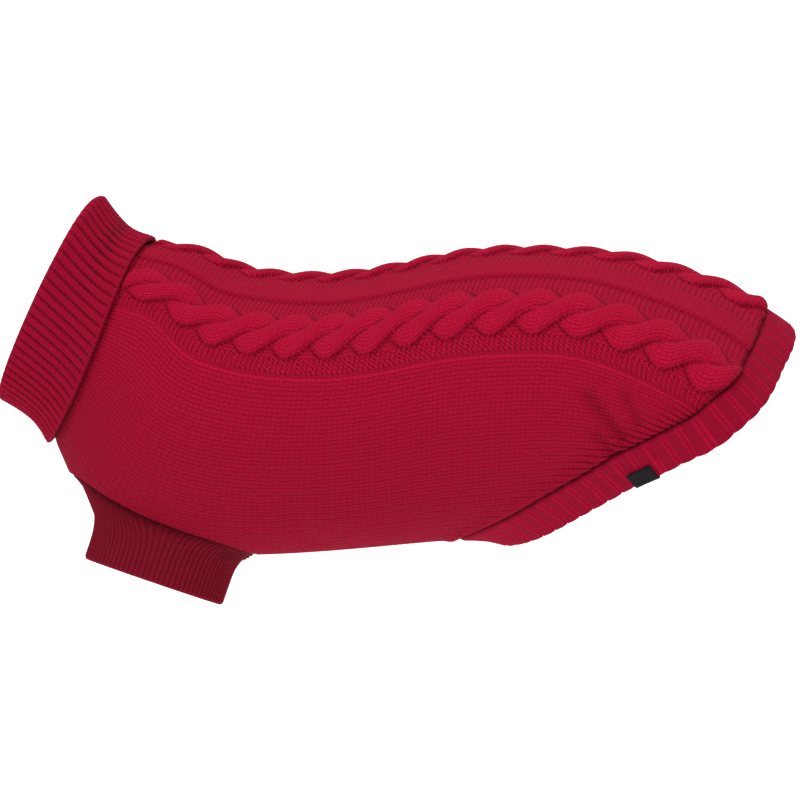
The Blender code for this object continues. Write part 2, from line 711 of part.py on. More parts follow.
def build_sleeve(name, side):
    """A short ribbed sleeve from its armhole down and outwards to its rim."""
    angle = arm_angles()
    place = arm_place(angle, side, SLEEVE_GAP)
    start, normal = body(place[:, 0], place[:, 1])
    start = start + normal * SLEEVE_START_LIFT
    mirror = np.array([1.0, -side, 1.0])
    middle, along, out = (
        np.array(v) * mirror for v in (SLEEVE_RIM_MIDDLE, SLEEVE_RIM_ALONG, SLEEVE_RIM_OUT)
    )
    middle[1] += SLEEVE_MIRROR * (1.0 + side)
    rim = middle + np.cos(angle)[:, None] * along + np.sin(angle)[:, None] * out
    axis = np.cross(along, out) * side
    axis /= np.linalg.norm(axis)
    drop = (rim - start) @ axis
    shift = rim - start - drop[:, None] * axis
    rib = np.where(np.arange(len(angle)) % 2 == 0, SLEEVE_RIB_RISE, 0.0)
    rearness = np.clip(np.cos(angle), 0.0, 1.0)
    soon = SLEEVE_DRAW_FRONT + (SLEEVE_DRAW_REAR - SLEEVE_DRAW_FRONT) * rearness
    outer = ramp(np.sin(angle), *SLEEVE_INNER)
    soon = SLEEVE_DRAW_INNER + (soon - SLEEVE_DRAW_INNER) * outer

    def skin(share):
        drawn = 1.0 - max(1.0 - share, 0.0) ** soon
        return start + axis * (drop * share)[:, None] + shift * drawn[:, None]

    def outward(share):
        ring = skin(share)
        run = np.roll(ring, -SLEEVE_BLEND, axis=0) - np.roll(ring, SLEEVE_BLEND, axis=0)
        facing = np.cross(axis, run)
        facing /= np.linalg.norm(facing, axis=1, keepdims=True)
        inward = ring.mean(axis=0) - ring
        return facing * -np.sign(np.sum(facing * inward))

    rows = [start]
    for share in SLEEVE_SHARES:
        rows.append(skin(share) + outward(share) * rib[:, None])
    rows.append(skin(1.0) - outward(1.0) * SLEEVE_RIM_ROUND)
    for share in (1.0, *SLEEVE_SHARES[-2::-1]):
        rows.append(skin(share) - outward(share) * RIB_WALL)
    rows.append(start - normal * RIB_WALL)
    material = make_material("wool rib, " + name, CHERRY_DARK, 0.9)
    return ring_solid(name, rows, material)


def build_collar():
    """The folded ribbed collar: an inner layer, a rounded fold and an outer layer."""
    count = 2 * COLLAR_RIBS
    share = (np.arange(count) + 0.5) / count * 2.0
    rib = np.where(np.arange(count) % 2 == 0, COLLAR_RIB_RISE, 0.0)
    fold = float(TABLE_COURSE[0])
    outer_under = COLLAR_INNER_TOP + COLLAR_BETWEEN
    outer_face = outer_under + COLLAR_LAYER
    free_face = COLLAR_OVER + COLLAR_LAYER
    bend = (outer_face + WALL) / 2.0
    halfway = fold * COLLAR_HALFWAY
    edge = COLLAR_FREE - COLLAR_EDGE_BACK
    inner_rise, top_rise, outer_rise = COLLAR_FOLD_RIBS
    shoulder = fold + bend * COLLAR_FOLD_SHARE
    slot = fold + bend + COLLAR_FOLD_IN

    def row(course, height, ribbed):
        across = np.where(share < 1.0, share, share - 2.0)
        right = float(half_girth(course, 1.0)[0])
        left = float(half_girth(course, -1.0)[0])
        across = across * np.where(across > 0.0, right, left)
        spot, normal = body(across, np.full(count, course))
        return spot + normal * (height + rib * ribbed)[:, None]

    inner_layer = [
        row(-SEAM_GAP, -WALL, 0.0), row(halfway, -WALL, 0.0), row(slot, -WALL, 0.0),
    ]
    round_fold = [
        row(shoulder, -WALL / 2.0, inner_rise), row(fold, outer_face - bend, top_rise),
        row(shoulder, outer_face - WALL / 3.0, outer_rise),
    ]
    outer_layer = [
        row(slot, outer_face, 1.0), row(halfway, outer_face, 1.0),
        row(edge, free_face, 1.0),
        row(COLLAR_FREE, free_face - COLLAR_LAYER / 2.0, COLLAR_EDGE_RIBS),
        row(edge, COLLAR_OVER, 0.0),
        row(halfway, outer_under, 0.0), row(slot, outer_under, 0.0),
    ]
    under_it = [
        row(slot, COLLAR_INNER_TOP, 0.0), row(halfway, COLLAR_INNER_TOP, 0.0),
        row(-SEAM_GAP, COLLAR_INNER_TOP, 0.0),
    ]
    rows = inner_layer + round_fold + outer_layer + under_it
    material = make_material("wool rib, collar", CHERRY, 0.9)
    return ring_solid("collar", rows, material)


def remove_scene_objects():
    for piece in list(bpy.data.objects):
        bpy.data.objects.remove(piece, do_unlink=True)


def main():
    remove_scene_objects()
    hem = hem_places()
    build_back(hem)
    build_belly(hem)
    build_hem(hem)
    build_sleeve("sleeve_left", -1.0)
    build_sleeve("sleeve_right", 1.0)
    build_collar()
    build_label(hem)


if __name__ == "__main__":
    main()
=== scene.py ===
"""Looks of a cable-knit dog pullover: stitches, ribs, rope cables, seams and label.

The pullover's neck points to -X, its tail to +X and +Z is up. Sizes are in
millimetres and are scaled to metres when a mesh is made; only the settings hold
metres, as Blender's own lengths do. A place on the body is given by two knitted
directions: the wale, counted across from the spine (plus is the right side), and
the course, counted along the cables from the neck seam.
"""

import math
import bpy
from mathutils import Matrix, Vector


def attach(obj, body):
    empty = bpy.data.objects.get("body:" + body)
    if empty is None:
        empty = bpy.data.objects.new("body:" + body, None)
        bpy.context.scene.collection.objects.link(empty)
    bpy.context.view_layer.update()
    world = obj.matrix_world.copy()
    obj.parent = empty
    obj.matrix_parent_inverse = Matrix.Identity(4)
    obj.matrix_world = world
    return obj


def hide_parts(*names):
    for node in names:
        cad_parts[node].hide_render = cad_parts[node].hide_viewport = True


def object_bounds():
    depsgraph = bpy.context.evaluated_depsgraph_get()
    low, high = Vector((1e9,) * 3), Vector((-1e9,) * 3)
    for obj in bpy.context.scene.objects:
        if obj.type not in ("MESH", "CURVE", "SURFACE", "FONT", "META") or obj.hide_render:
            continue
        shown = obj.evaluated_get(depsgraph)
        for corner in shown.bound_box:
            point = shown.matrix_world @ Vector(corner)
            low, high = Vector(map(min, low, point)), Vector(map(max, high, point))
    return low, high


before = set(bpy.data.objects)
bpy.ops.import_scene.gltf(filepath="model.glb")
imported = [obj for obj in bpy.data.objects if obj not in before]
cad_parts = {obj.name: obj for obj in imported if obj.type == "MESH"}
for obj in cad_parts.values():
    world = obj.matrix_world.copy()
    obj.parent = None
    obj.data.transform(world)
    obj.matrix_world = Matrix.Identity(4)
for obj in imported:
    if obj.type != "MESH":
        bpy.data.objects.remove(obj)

from types import SimpleNamespace

import bpy
import numpy as np
from mathutils import Matrix, Vector

bl_info = {
    "name": "Cable-knit dog pullover",
    "version": (1, 0, 0),
    "blender": (4, 5, 0),
    "location": "View3D > Sidebar > Knitwear",
    "description": "Builds the knitted surface of a dog pullover round its plain solids",
    "category": "Object",
}

MM = 0.001
ORIGIN = np.array([60.0, 0.0, -2.1])
CAD_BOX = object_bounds()
SIDES = (1.0, -1.0)  # the right and the left

# The garment's form, the same as the solids'
SECTION_COLUMNS = (
    "top_x", "top_z", "low_x", "low_z", "wide", "waist",
    "square_top", "square_low", "sweep", "roll", "draw", "belly",
)
SECTIONS = (
    (-92, 48, -150, -83, 51, 0.50, 2.1, 2.1, 1, 0, 0.62, 18),
    (-69, 22, -122, -103, 51, 0.50, 2.2, 2.1, 8, 1, 0.64, 18),
    (-33, 14, -105, -137, 61, 0.48, 2.4, 2.2, 4, 2, 0.68, 24),
    (-5, 2, -79, -163, 69, 0.48, 2.6, 2.3, 1, 3, 0.82, 30),
    (25, -1, -25, -177, 73, 0.48, 2.6, 2.3, 0, 2, 0.93, 30),
    (65, 1, 40, -172, 75, 0.48, 2.9, 2.2, 0, 2, 1.00, 30),
    (110, 13, 103, -161, 75, 0.47, 2.9, 2.1, 0, 3, 1.03, 30),
    (155, 27, 151, -151, 74, 0.46, 2.7, 2.1, 0, 3, 1.00, 30),
    (200, 33, 195, -141, 72, 0.46, 2.7, 2.1, 0, 2, 0.97, 30),
    (240, 32, 228, -128, 72, 0.46, 2.8, 2.1, 0, 3, 0.95, 30),
    (280, 23, 258, -110, 71, 0.46, 2.8, 2.1, 0, 5, 0.97, 30),
    (316, 9, 284, -93, 70, 0.46, 2.8, 2.1, 0, 7, 1.00, 30),
    (345, -13, 306, -80, 68, 0.46, 2.8, 2.1, 0, 9, 1.02, 30),
)
NECK_SECTION = 1.0
CABLE_PATH = 60.0
PHI_STEPS = 240
SECTION_STEPS = 240
GIRTH_STEPS = 600
PAST_HEM = 30.0  # courses past the hem, for places at its edge
NORMAL_STEP = 0.5

WALL = 2.4
RIB_WALL = 2.6
SEAM_GAP = 0.3
SEAM_SHOWN = 0.03  # the panels are drawn closer at their seam than the solids
HIDDEN_TONE = -0.9  # between layers, where no light comes

BAND_HALF = 11.0
BAND_RISE = 2.0
BAND_SLOPE = (-1.5, 1.5)  # from BAND_HALF
CABLE_MIDDLE = 45.0
CABLE_HALF = 17.0
CABLE_BED = 1.8
CABLE_BED_PAST = 0.5
CABLE_EDGE = (16.5, 17.5)  # from CABLE_MIDDLE, where the purl ground begins
STRAND_ROUND = 0.45
# Painted shade in the crevices beside a strand: where it fades in, and how far past a cable it
# reaches
CREVICE_SHOWN = (-3.0, -1.5)  # a strand's height over the other's, unseen and full
CREVICE_PAST = 2.0
RIDGE = 73.0
PURL_SOFT = 0.6
SIDE_RISE = 1.0
SIDE_SLOPE = (-3.0, 1.0)  # from RIDGE
SIDE_EDGE = 216.0
CROSSING = 26.2
FIRST_CROSSING = 14.0
RELIEF = (8.0, 16.0)  # courses between which the pattern rises from the neck seam

# Grids: their steps in millimetres, points in a column, columns from the middle to an edge
CABLE_STEP = 0.9
ROW_STEP = 1.8
COLUMN_POINTS = 4.0
CABLED_COLUMNS = 13.5
BELLY_COLUMNS = 7.0
BACK_INNER_GRID = (73, 70)
BELLY_INNER_GRID = (9, 41)
BELLY_MOST = 30.0

# Rises over the knit, and lines of painted light and shade on it: height or strength, place and
# width.
# The ridge's count from RIDGE, the band's from BAND_HALF, the others from their seam
RIDGE_MOUND = (0.5, 2.4, 1.9)
RIDGE_PAINTED_LIGHT = (0.25, 2.4, 1.2)
RIDGE_PAINTED_SHADE = (0.35, 0.2, 0.8)
BAND_PAINTED_SHADE = (0.55, 1.2, 1.3)
HEM_SWELL = (1.1, 5.0, 3.6)
HEM_DIP = (1.0, 0.0, 1.6)
HEM_PAINTED_SHADE = (0.6, 0.0, 1.3)
SEAM_DIP = (0.9, 0.0, 1.4)
SEAM_PAINTED_SHADE = (0.4, 0.0, 1.2)
BELLY_SEAM_PAINTED_SHADE = (0.6, 0.0, 1.2)
PUCKER = (1.0, 0.0, 12.0)

# Ramps over the knit, some of them painted light and shade: start, end and the values there
RIDGE_LINE_GROWTH = (30.0, 110.0, 0.4, 1.0)
PUCKER_WALES = (50.0, 80.0)
PUCKER_COURSES = (290.0, 345.0, 0.3, 1.0)
PUCKER_DEPTH = 1.5
# Painted shade between the puckers at the hem
PUCKER_PAINTED_SHADE = (1.3, 0.45)  # strength, and how much of a column stays light
BACK_COLUMN_DEPTH = 0.36
BELLY_COLUMN_DEPTH = 0.42
COLUMN_ROUND = 0.6
# Painted light on a cable's upper strand, and painted shade on the purl grounds
STRAND_PAINTED_LIGHT = 0.2
PURL_PAINTED_SHADE = -0.85
# Painted shade on the panels' inner skins
INSIDE_PAINTED_SHADE = -0.2
# Painted shade down the sides, where less light falls, and in the soft folds
SIDE_PAINTED_SHADES = ((10.0, 60.0, 0.0, 0.1), (40.0, 110.0, 0.0, 0.12))  # from RIDGE
FOLD_PAINTED_SHADE = (200.0, 280.0, 0.0, 0.16)

# Soft folds: two ends (wale and course), width and depth; side -1 is the left
FOLD_COLUMNS = ("wale_a", "course_a", "wale_b", "course_b", "width", "depth", "side")
FOLDS = (
    (96, 330, 118, 356, 5.0, 2.2, -1),
    (88, 352, 104, 366, 4.0, 1.4, -1),
    (120, 338, 132, 352, 4.5, 1.6, -1),
    (100, 326, 120, 350, 5.5, 2.0, 1),
    (130, 300, 146, 326, 5.0, 1.5, 1),
    (150, 150, 186, 158, 7.0, 1.6, -1),
    (146, 154, 184, 166, 7.0, 1.8, 1),
)

# Hem seam from the tail to the belly: share of the half girth, and course
HEM = (
    (0.000, 413.5), (0.150, 413.5), (0.260, 410), (0.343, 403), (0.404, 394),
    (0.486, 373), (0.541, 353), (0.605, 330), (0.664, 305), (0.740, 276),
    (0.793, 257), (0.850, 243), (0.920, 237), (1.000, 236),
)
HEM_WIDTH_TAIL = 23.5
HEM_WIDTH_BELLY = 27.5
HEM_TUCK_TAIL = 0.5
HEM_TUCK_BELLY = -2.5
HEM_CURVE_STEPS = 400
HEM_STRIPS = 56
HEM_BACK_STRIPS = 48
HEM_STRIP_STEPS = 16
HEM_SCALLOP = 0.7
# Across one strip: a pair of raised lines, and the groove between them
HEM_LINES = ((1.0, 0.375, 0.045), (1.0, 0.625, 0.045))
HEM_GROOVE = (1.0, 0.5, 0.09)
# Its face: number of rows, first and last share of the width, first and last stitch
HEM_ROWS = 24
HEM_FACE = (0.01, 0.96)
HEM_FACE_STITCHES = (0.6, 8.4)
HEM_SEAM = (1.0, 0.0, 0.06)
HEM_SEAM_DEPTH = 0.7
HEM_SEAM_PAINTED_SHADE = (0.7, 0.0, 0.05)
# Its rows hidden in the seam, and those round its edge and back inside to the seam:
# share of the width, ribs, height, scallops, place past the share, strips' painted light,
# painted light and shade, stitch
HEM_FIRST_ROWS = (
    (0.0, 0.0, -WALL - 0.6, 0.0, -2.0, 0.0, -0.8, 0.0),
    (0.0, 0.0, -1.5, 0.0, 0.1, 0.0, -0.8, 0.3),
)
HEM_LAST_ROWS = (
    (0.985, 0.8, -0.35, 1.0, 0.0, 1.0, 0.15, 8.6),
    (1.0, 0.5, -1.0, 1.0, 0.0, 1.0, 0.0, 8.9),
    (0.99, 0.0, -2.2, 1.0, 0.0, 0.0, -0.3, 9.2),
    (0.95, 0.0, -RIB_WALL, 0.0, 0.0, 0.0, -0.3, 9.5),
    (0.5, 0.0, -RIB_WALL, 0.0, 0.0, 0.0, -0.3, 13.0),
    (0.12, 0.0, -RIB_WALL - 0.6, 0.0, 0.0, 0.0, -0.3, 17.0),
    (0.0, 0.0, -WALL - 1.7, 0.0, -2.0, 0.0, -0.3, 18.0),
)

ARM_MIDDLE = 81.0
ARM_LENGTH = 48.0
ARM_UP = 46.0
ARM_DOWN = 16.0
ARM_SQUARE = 2.2
ARM_EDGE_STEPS = 1200
SLEEVE_RIM_MIDDLE = (-41.0, -45.0, -189.0)
SLEEVE_RIM_ALONG = (44.0, 0.0, -10.5)
SLEEVE_RIM_OUT = (0.0, -31.0, 18.5)
SLEEVE_MIRROR = 5.0
SLEEVE_DRAW_FRONT = 4.0
SLEEVE_DRAW_REAR = 9.0
SLEEVE_DRAW_INNER = 1.0
SLEEVE_INNER = (-0.7, 0.0)
SLEEVE_BLEND = 18
SLEEVE_GAP = 0.4
SLEEVE_OVER = 0.2
SLEEVE_TURNED_IN = -1.6
SLEEVE_RIBS = 84
SLEEVE_RIB_STEPS = 6
SLEEVE_RIB_RISE = 1.1
# Its face: number of rows, first and last share of the length, first and last stitch
SLEEVE_ROWS = 30
SLEEVE_FACE = (0.02, 0.95)
SLEEVE_FACE_STITCHES = (0.5, 14.5)
SLEEVE_SEAM = (1.0, 0.0, 0.1)
SLEEVE_SEAM_FLAT = 0.8
# Painted shade along the armhole seam
SLEEVE_SEAM_PAINTED_SHADE = -0.5
# The grooves' tone is painted shade in the grooves, the last tone the row's painted light and shade
SLEEVE_FACE_ROW = (1.0, -0.3, -0.55, 0.1)  # ribs, height, grooves' tone and tone
# Its rows round the rim and up the inside: the same after the share of the length, and stitch
SLEEVE_RIM_ROWS = (
    (0.98, 0.8, -0.6, -0.4, 0.2, 14.9),
    (1.0, 0.4, -1.2, -0.2, 0.4, 15.3),
    (0.985, 0.0, 0.4 - RIB_WALL, 0.0, 0.1, 15.8),
    (0.95, 0.25, -RIB_WALL, -0.4, -0.35, 16.4),
    (0.7, 0.25, -RIB_WALL, -0.4, -0.35, 20.0),
    (0.4, 0.25, -RIB_WALL, -0.4, -0.35, 25.0),
)
# Its rows hidden in the seam, before the face and after the inside: depth under the armhole's
# edge, depth under the place that it is turned in to, painted shade, and the stitches of both
SLEEVE_FIRST_ROWS = (1.2, WALL + 0.6, HIDDEN_TONE, (0.0, 0.3))
SLEEVE_LAST_ROWS = (RIB_WALL + 0.8, WALL + 1.7, -0.6, (30.0, 31.0))

RIB_ROUND = 0.75
RIB_GROOVE = (1.0, 0.0, 0.2)

COLLAR_FREE = 11.0
COLLAR_OVER = 2.2
COLLAR_LAYER = 2.8
COLLAR_INNER_TOP = 0.2
COLLAR_BETWEEN = 0.8
COLLAR_FOLD_IN = 2.0
COLLAR_RIBS = 64
COLLAR_RIB_STEPS = 8
COLLAR_ROWS = 34
COLLAR_ROW_RIPPLE = 0.1
COLLAR_BOUND_OFF = 3.0
COLLAR_FACE_SINK = 0.4
COLLAR_FREE_SINK = 0.6
COLLAR_FLAT_SHARE = 0.6  # of the outer face, before it lifts to its free edge
COLLAR_GROOVE_PAINTED_SHADE = 0.65
COLLAR_ROW_SHARE = 0.92  # its rows are that much closer than the panels'
# Past the free edge, height over the outer face, share of the ribs, painted light and shade
COLLAR_FREE_EDGE = (
    (-2.5, 0.2, 0.7, -0.1), (-1.9, 0.6, 0.6, 0.1), (-1.0, 0.6, 0.6, 0.15),
    (-0.2, -0.1, 0.6, 0.0), (0.0, -1.0, 0.2, -0.3),
)

LABEL_WIDE = 17.0
LABEL_HIGH = 11.0
LABEL_THICK = 0.8
LABEL_OVER = 1.3
LABEL_COURSE = 359.0
LABEL_COLUMNS = 24
LABEL_ROWS = 8

# Steps of the hem seam over the back and under the belly
HEM_STEPS_FOR_BACK = (600, 60)
HEM_STEPS_FOR_BELLY = (288, 240)
HEM_STEPS_FOR_LABEL = (288, 48)

# Stitch pattern, in stitches
SWAY = 0.35
SWAY_SCALE = 0.9
LEG_SLOPE = -0.75
BAR_SLOPE = 0.6
ROW_GAP = 0.5
BAR_GAP = 0.2
ROW_EDGE = 0.26
LEG_EDGE = 0.11

# Painted shade and light of the yarn, dark in the stitch gaps and bright on the crowns:
# place on the scale, share of its colour
YARN_PAINTED_SHADES = ((0.0, 0.05), (0.38, 0.55), (0.68, 1.0), (1.0, 1.7))
SHADE_LEVELS = (-0.8, 1.4)
PURL_CONTRAST = 2.9
HEATHER = 0.65
FIBRE_RELIEF = 0.9

# Sizes of the materials' patterns in millimetres. Real fibres, threads and tooth are
# many times finer, and are drawn this coarse so that they show
FIBRE_TUFT = 10.0 / 9.0
SATIN_THREAD = 0.698
SATIN_DUST = 0.714
SATIN_RISE = 0.06
SHEET_TOOTH = 13.333
WAVE_TURNS = 10.0 / math.tau  # threads in one unit of a wave texture whose scale is 1

# The stage: the floor in metres, and each lamp's name, place, size in metres and watts
FLOOR_HALF = 6.0
LAMPS = (
    ("key", (-0.7, -1.0, 1.9), 1.3, 22.0),
    ("fill", (1.3, -1.5, 0.7), 1.6, 8.0),
    ("back", (0.6, 1.6, 1.5), 1.4, 11.0),
    ("top", (0.1, 0.1, 2.2), 1.8, 15.0),
)
SKY = 0.5
CAMERA_SENSOR = 36.0
CAMERA_SIGHT = 50.0  # metres
CAMERA_TARGET = (50.0, 0.0, -61.8)
CAMERA_AZIMUTH = 15.0
CAMERA_ELEVATION = 24.0
CAMERA_DISTANCE = 2200.0
CAMERA_FIELD = 500.0


def linear(hex_colour):
    """An sRGB hex colour as linear red, green and blue."""
    parts = [int(hex_colour[i:i + 2], 16) / 255.0 for i in (1, 3, 5)]
    return tuple(c / 12.92 if c <= 0.04045 else ((c + 0.055) / 1.055) ** 2.4 for c in parts)


# ---------------------------------------------------------------- form


def spline(values):
    """Natural cubic through values at 0, 1, 2 ..., returned as a function."""
    y = np.asarray(values, float)
    n = len(y)
    matrix = np.eye(n)
    rhs = np.zeros(n)
    for i in range(1, n - 1):
        matrix[i, i - 1:i + 2] = (1.0, 4.0, 1.0)
        rhs[i] = 6.0 * (y[i - 1] - 2.0 * y[i] + y[i + 1])
    bend = np.linalg.solve(matrix, rhs)

    def at(t):
        t = np.asarray(t, float)
        i = np.clip(np.floor(t).astype(int), 0, n - 2)
        u = t - i
        w = 1.0 - u
        return (
            w * y[i] + u * y[i + 1]
            + (w ** 3 - w) * bend[i] / 6.0 + (u ** 3 - u) * bend[i + 1] / 6.0
        )

    return at


SECTION_AT = {
    name: spline([row[i] for row in SECTIONS]) for i, name in enumerate(SECTION_COLUMNS)
}
LAST_SECTION = len(SECTIONS) - 1.0


def ramp(value, start, end, low=0.0, high=1.0):
    """Goes smoothly from low at start to high at end."""
    share = np.clip((value - start) / (end - start), 0.0, 1.0)
    return low + (high - low) * share * share * (3.0 - 2.0 * share)


def mound(distance, shape):
    """A smooth rise, given by its height, place and width."""
    height, place, width = shape
    return height * np.exp(-((distance - place) / width) ** 2)


def section_points(t, phi):
    """Points of the sections t at the angles phi from the spine; +phi is the right side."""
    row = {name: at(t) for name, at in SECTION_AT.items()}
    up_x = row["top_x"] - row["low_x"]
    up_z = row["top_z"] - row["low_z"]
    height = np.hypot(up_x, up_z)
    upper = np.cos(phi) >= 0.0
    power = 2.0 / np.where(upper, row["square_top"], row["square_low"])
    reach = np.where(upper, row["waist"], 1.0 - row["waist"]) * height
    y = row["wide"] * np.sign(np.sin(phi)) * np.abs(np.sin(phi)) ** power
    rise = reach * np.sign(np.cos(phi)) * np.abs(np.cos(phi)) ** power
    drop = row["waist"] * height - rise
    roll = np.radians(row["roll"])
    turned_drop = drop * np.cos(roll) - y * np.sin(roll)
    back = row["sweep"] * (y / row["wide"]) ** 2
    return np.stack([
        row["top_x"] + (back * up_z - turned_drop * up_x) / height,
        y * np.cos(roll) + drop * np.sin(roll),
        row["top_z"] - (back * up_x + turned_drop * up_z) / height,
    ], axis=-1)


def half_lengths(t, side):
    """Lengths round half of each section, at PHI_STEPS + 1 angles."""
    phi = np.linspace(0.0, math.pi, PHI_STEPS + 1)
    points = section_points(t[:, None], side * phi[None, :])
    steps = np.linalg.norm(np.diff(points, axis=1), axis=2)
    return phi, np.concatenate([np.zeros((len(t), 1)), np.cumsum(steps, axis=1)], axis=1)


def points_by_section(t, across):
    """Points at the sections t and the distances across from the spine."""
    t, across = np.broadcast_arrays(np.asarray(t, float), np.asarray(across, float))
    shape = t.shape
    t = t.ravel()
    across = across.ravel()
    rows, row_of = np.unique(np.round(t, 7), return_inverse=True)
    row_of = row_of.ravel()
    angle = np.zeros(len(t))
    for side in SIDES:
        phi, length = half_lengths(rows, side)
        mine = across * side > 0.0
        order = np.argsort(row_of[mine], kind="stable")
        places = np.flatnonzero(mine)[order]
        starts = np.searchsorted(row_of[places], np.arange(len(rows) + 1))
        for k in range(len(rows)):
            pick = places[starts[k]:starts[k + 1]]
            if len(pick):
                angle[pick] = side * np.interp(np.abs(across[pick]), length[k], phi)
    return section_points(t, angle).reshape(shape + (3,))


def running_length(points):
    """Length along a line of points, from 0 at its first."""
    steps = np.linalg.norm(np.diff(points, axis=0), axis=1)
    return np.concatenate([[0.0], np.cumsum(steps)])


def course_table():
    """Courses of evenly spaced sections, counted along the cable path."""
    t = np.linspace(0.0, LAST_SECTION, SECTION_STEPS + 1)
    course = running_length(points_by_section(t, -CABLE_PATH * SECTION_AT["draw"](t)))
    return t, course - np.interp(NECK_SECTION, t, course)


TABLE_T, TABLE_COURSE = course_table()
FOLD_COURSE = float(TABLE_COURSE[0])
LONGEST_COURSE = max(course for _, course in HEM)
GIRTH_COURSES = np.linspace(FOLD_COURSE, LONGEST_COURSE + PAST_HEM, GIRTH_STEPS)


def section_of(course):
    return np.interp(course, TABLE_COURSE, TABLE_T)


HALF_GIRTHS = {
    side: half_lengths(section_of(GIRTH_COURSES), side)[1][:, -1] for side in SIDES
}


def half_girth(course, side):
    """Length round one half of the body at each course."""
    return np.interp(course, GIRTH_COURSES, HALF_GIRTHS[side])


def own_half_girth(place, course):
    """Length round the half of the body that a place is on."""
    return np.where(place >= 0.0, half_girth(course, 1.0), half_girth(course, -1.0))


def from_other_line(place, course):
    """Turns a place counted from the spine into one counted from the belly line, or back."""
    side = np.where(place >= 0.0, 1.0, -1.0)
    return side * (own_half_girth(place, course) - np.abs(place))


def belly_half(course):
    return SECTION_AT["belly"](section_of(course))


def seam_distance(wale, course):
    """Distance from the spine to the side seam, on the wale's own side."""
    return own_half_girth(wale, course) - belly_half(course)


def across_of(wale, course):
    """Distance from the spine of a wale, which keeps its number from neck to tail."""
    wale, course = np.broadcast_arrays(np.asarray(wale, float), np.asarray(course, float))
    draw = SECTION_AT["draw"](section_of(course))
    ridge = draw * RIDGE
    past = (np.abs(wale) - RIDGE) / (SIDE_EDGE - RIDGE)
    far = ridge + past * (seam_distance(wale, course) - ridge)
    return np.sign(wale) * np.where(np.abs(wale) <= RIDGE, draw * np.abs(wale), far)


def wale_of(across, course):
    """The wale at a distance from the spine."""
    across, course = np.broadcast_arrays(np.asarray(across, float), np.asarray(course, float))
    draw = SECTION_AT["draw"](section_of(course))
    ridge = draw * RIDGE
    past = (np.abs(across) - ridge) / (seam_distance(across, course) - ridge)
    far = RIDGE + past * (SIDE_EDGE - RIDGE)
    return np.sign(across) * np.where(np.abs(across) <= ridge, np.abs(across) / draw, far)


def body(across, course):
    """Points on the body, and its outward normals."""
    across, course = np.broadcast_arrays(np.asarray(across, float), np.asarray(course, float))
    t = section_of(course)
    before, after = (
        points_by_section(section_of(course + step), across)
        for step in (-NORMAL_STEP, NORMAL_STEP)
    )
    left, right = (
        points_by_section(t, across + step) for step in (-NORMAL_STEP, NORMAL_STEP)
    )
    normal = np.cross(after - before, right - left)
    normal /= np.linalg.norm(normal, axis=-1, keepdims=True)
    return points_by_section(t, across), normal


# ---------------------------------------------------------------- seams


def hem_places(back_steps, belly_steps):
    """Places round the hem seam from the left side seam over the tail and back under the belly."""
    share_at = spline([row[0] for row in HEM])
    course_at = spline([row[1] for row in HEM])
    q = np.linspace(0.0, len(HEM) - 1.0, HEM_CURVE_STEPS + 1)
    halves = {}
    course = course_at(q)
    for side in SIDES:
        across = share_at(q) * half_girth(course, side)
        seam = half_girth(course, side) - belly_half(course)
        points = points_by_section(section_of(course), side * across)
        length = running_length(points)
        halves[side] = (length, float(np.interp(0.0, across - seam, q)))
    places = []
    for side, belly in ((-1.0, False), (1.0, False), (1.0, True), (-1.0, True)):
        length, cut = halves[side]
        cut_length = float(np.interp(cut, q, length))
        steps = (belly_steps if belly else back_steps) // 2
        ends = (cut_length, length[-1]) if belly else (0.0, cut_length)
        marks = np.interp(np.linspace(*ends, steps + 1), length, q)
        if side < 0.0:
            marks = marks[::-1]
        course = course_at(marks)
        across = side * share_at(marks) * half_girth(course, side)
        places.append(np.stack([across, course], axis=1)[:-1])
    return np.concatenate(places)


def arm_reach(course):
    """How far the armhole reaches into the back panel at each course, or 0 outside it."""
    along = np.clip(np.abs(course - ARM_MIDDLE) / ARM_LENGTH, 0.0, 1.0)
    return (1.0 - along ** ARM_SQUARE) ** (1.0 / ARM_SQUARE)


def arm_place(angle, side, inset):
    """Places round an armhole; angle 0 is its rear end, 90 degrees its upper edge."""
    cos, sin = np.cos(angle), np.sin(angle)
    power = 2.0 / ARM_SQUARE
    course = ARM_MIDDLE + (ARM_LENGTH - inset) * np.sign(cos) * np.abs(cos) ** power
    reach = np.where(sin > 0.0, ARM_UP, ARM_DOWN) - inset
    from_belly = belly_half(course) + reach * np.sign(sin) * np.abs(sin) ** power
    return np.stack([from_other_line(side * from_belly, course), course], axis=1)


# ---------------------------------------------------------------- stitches and relief


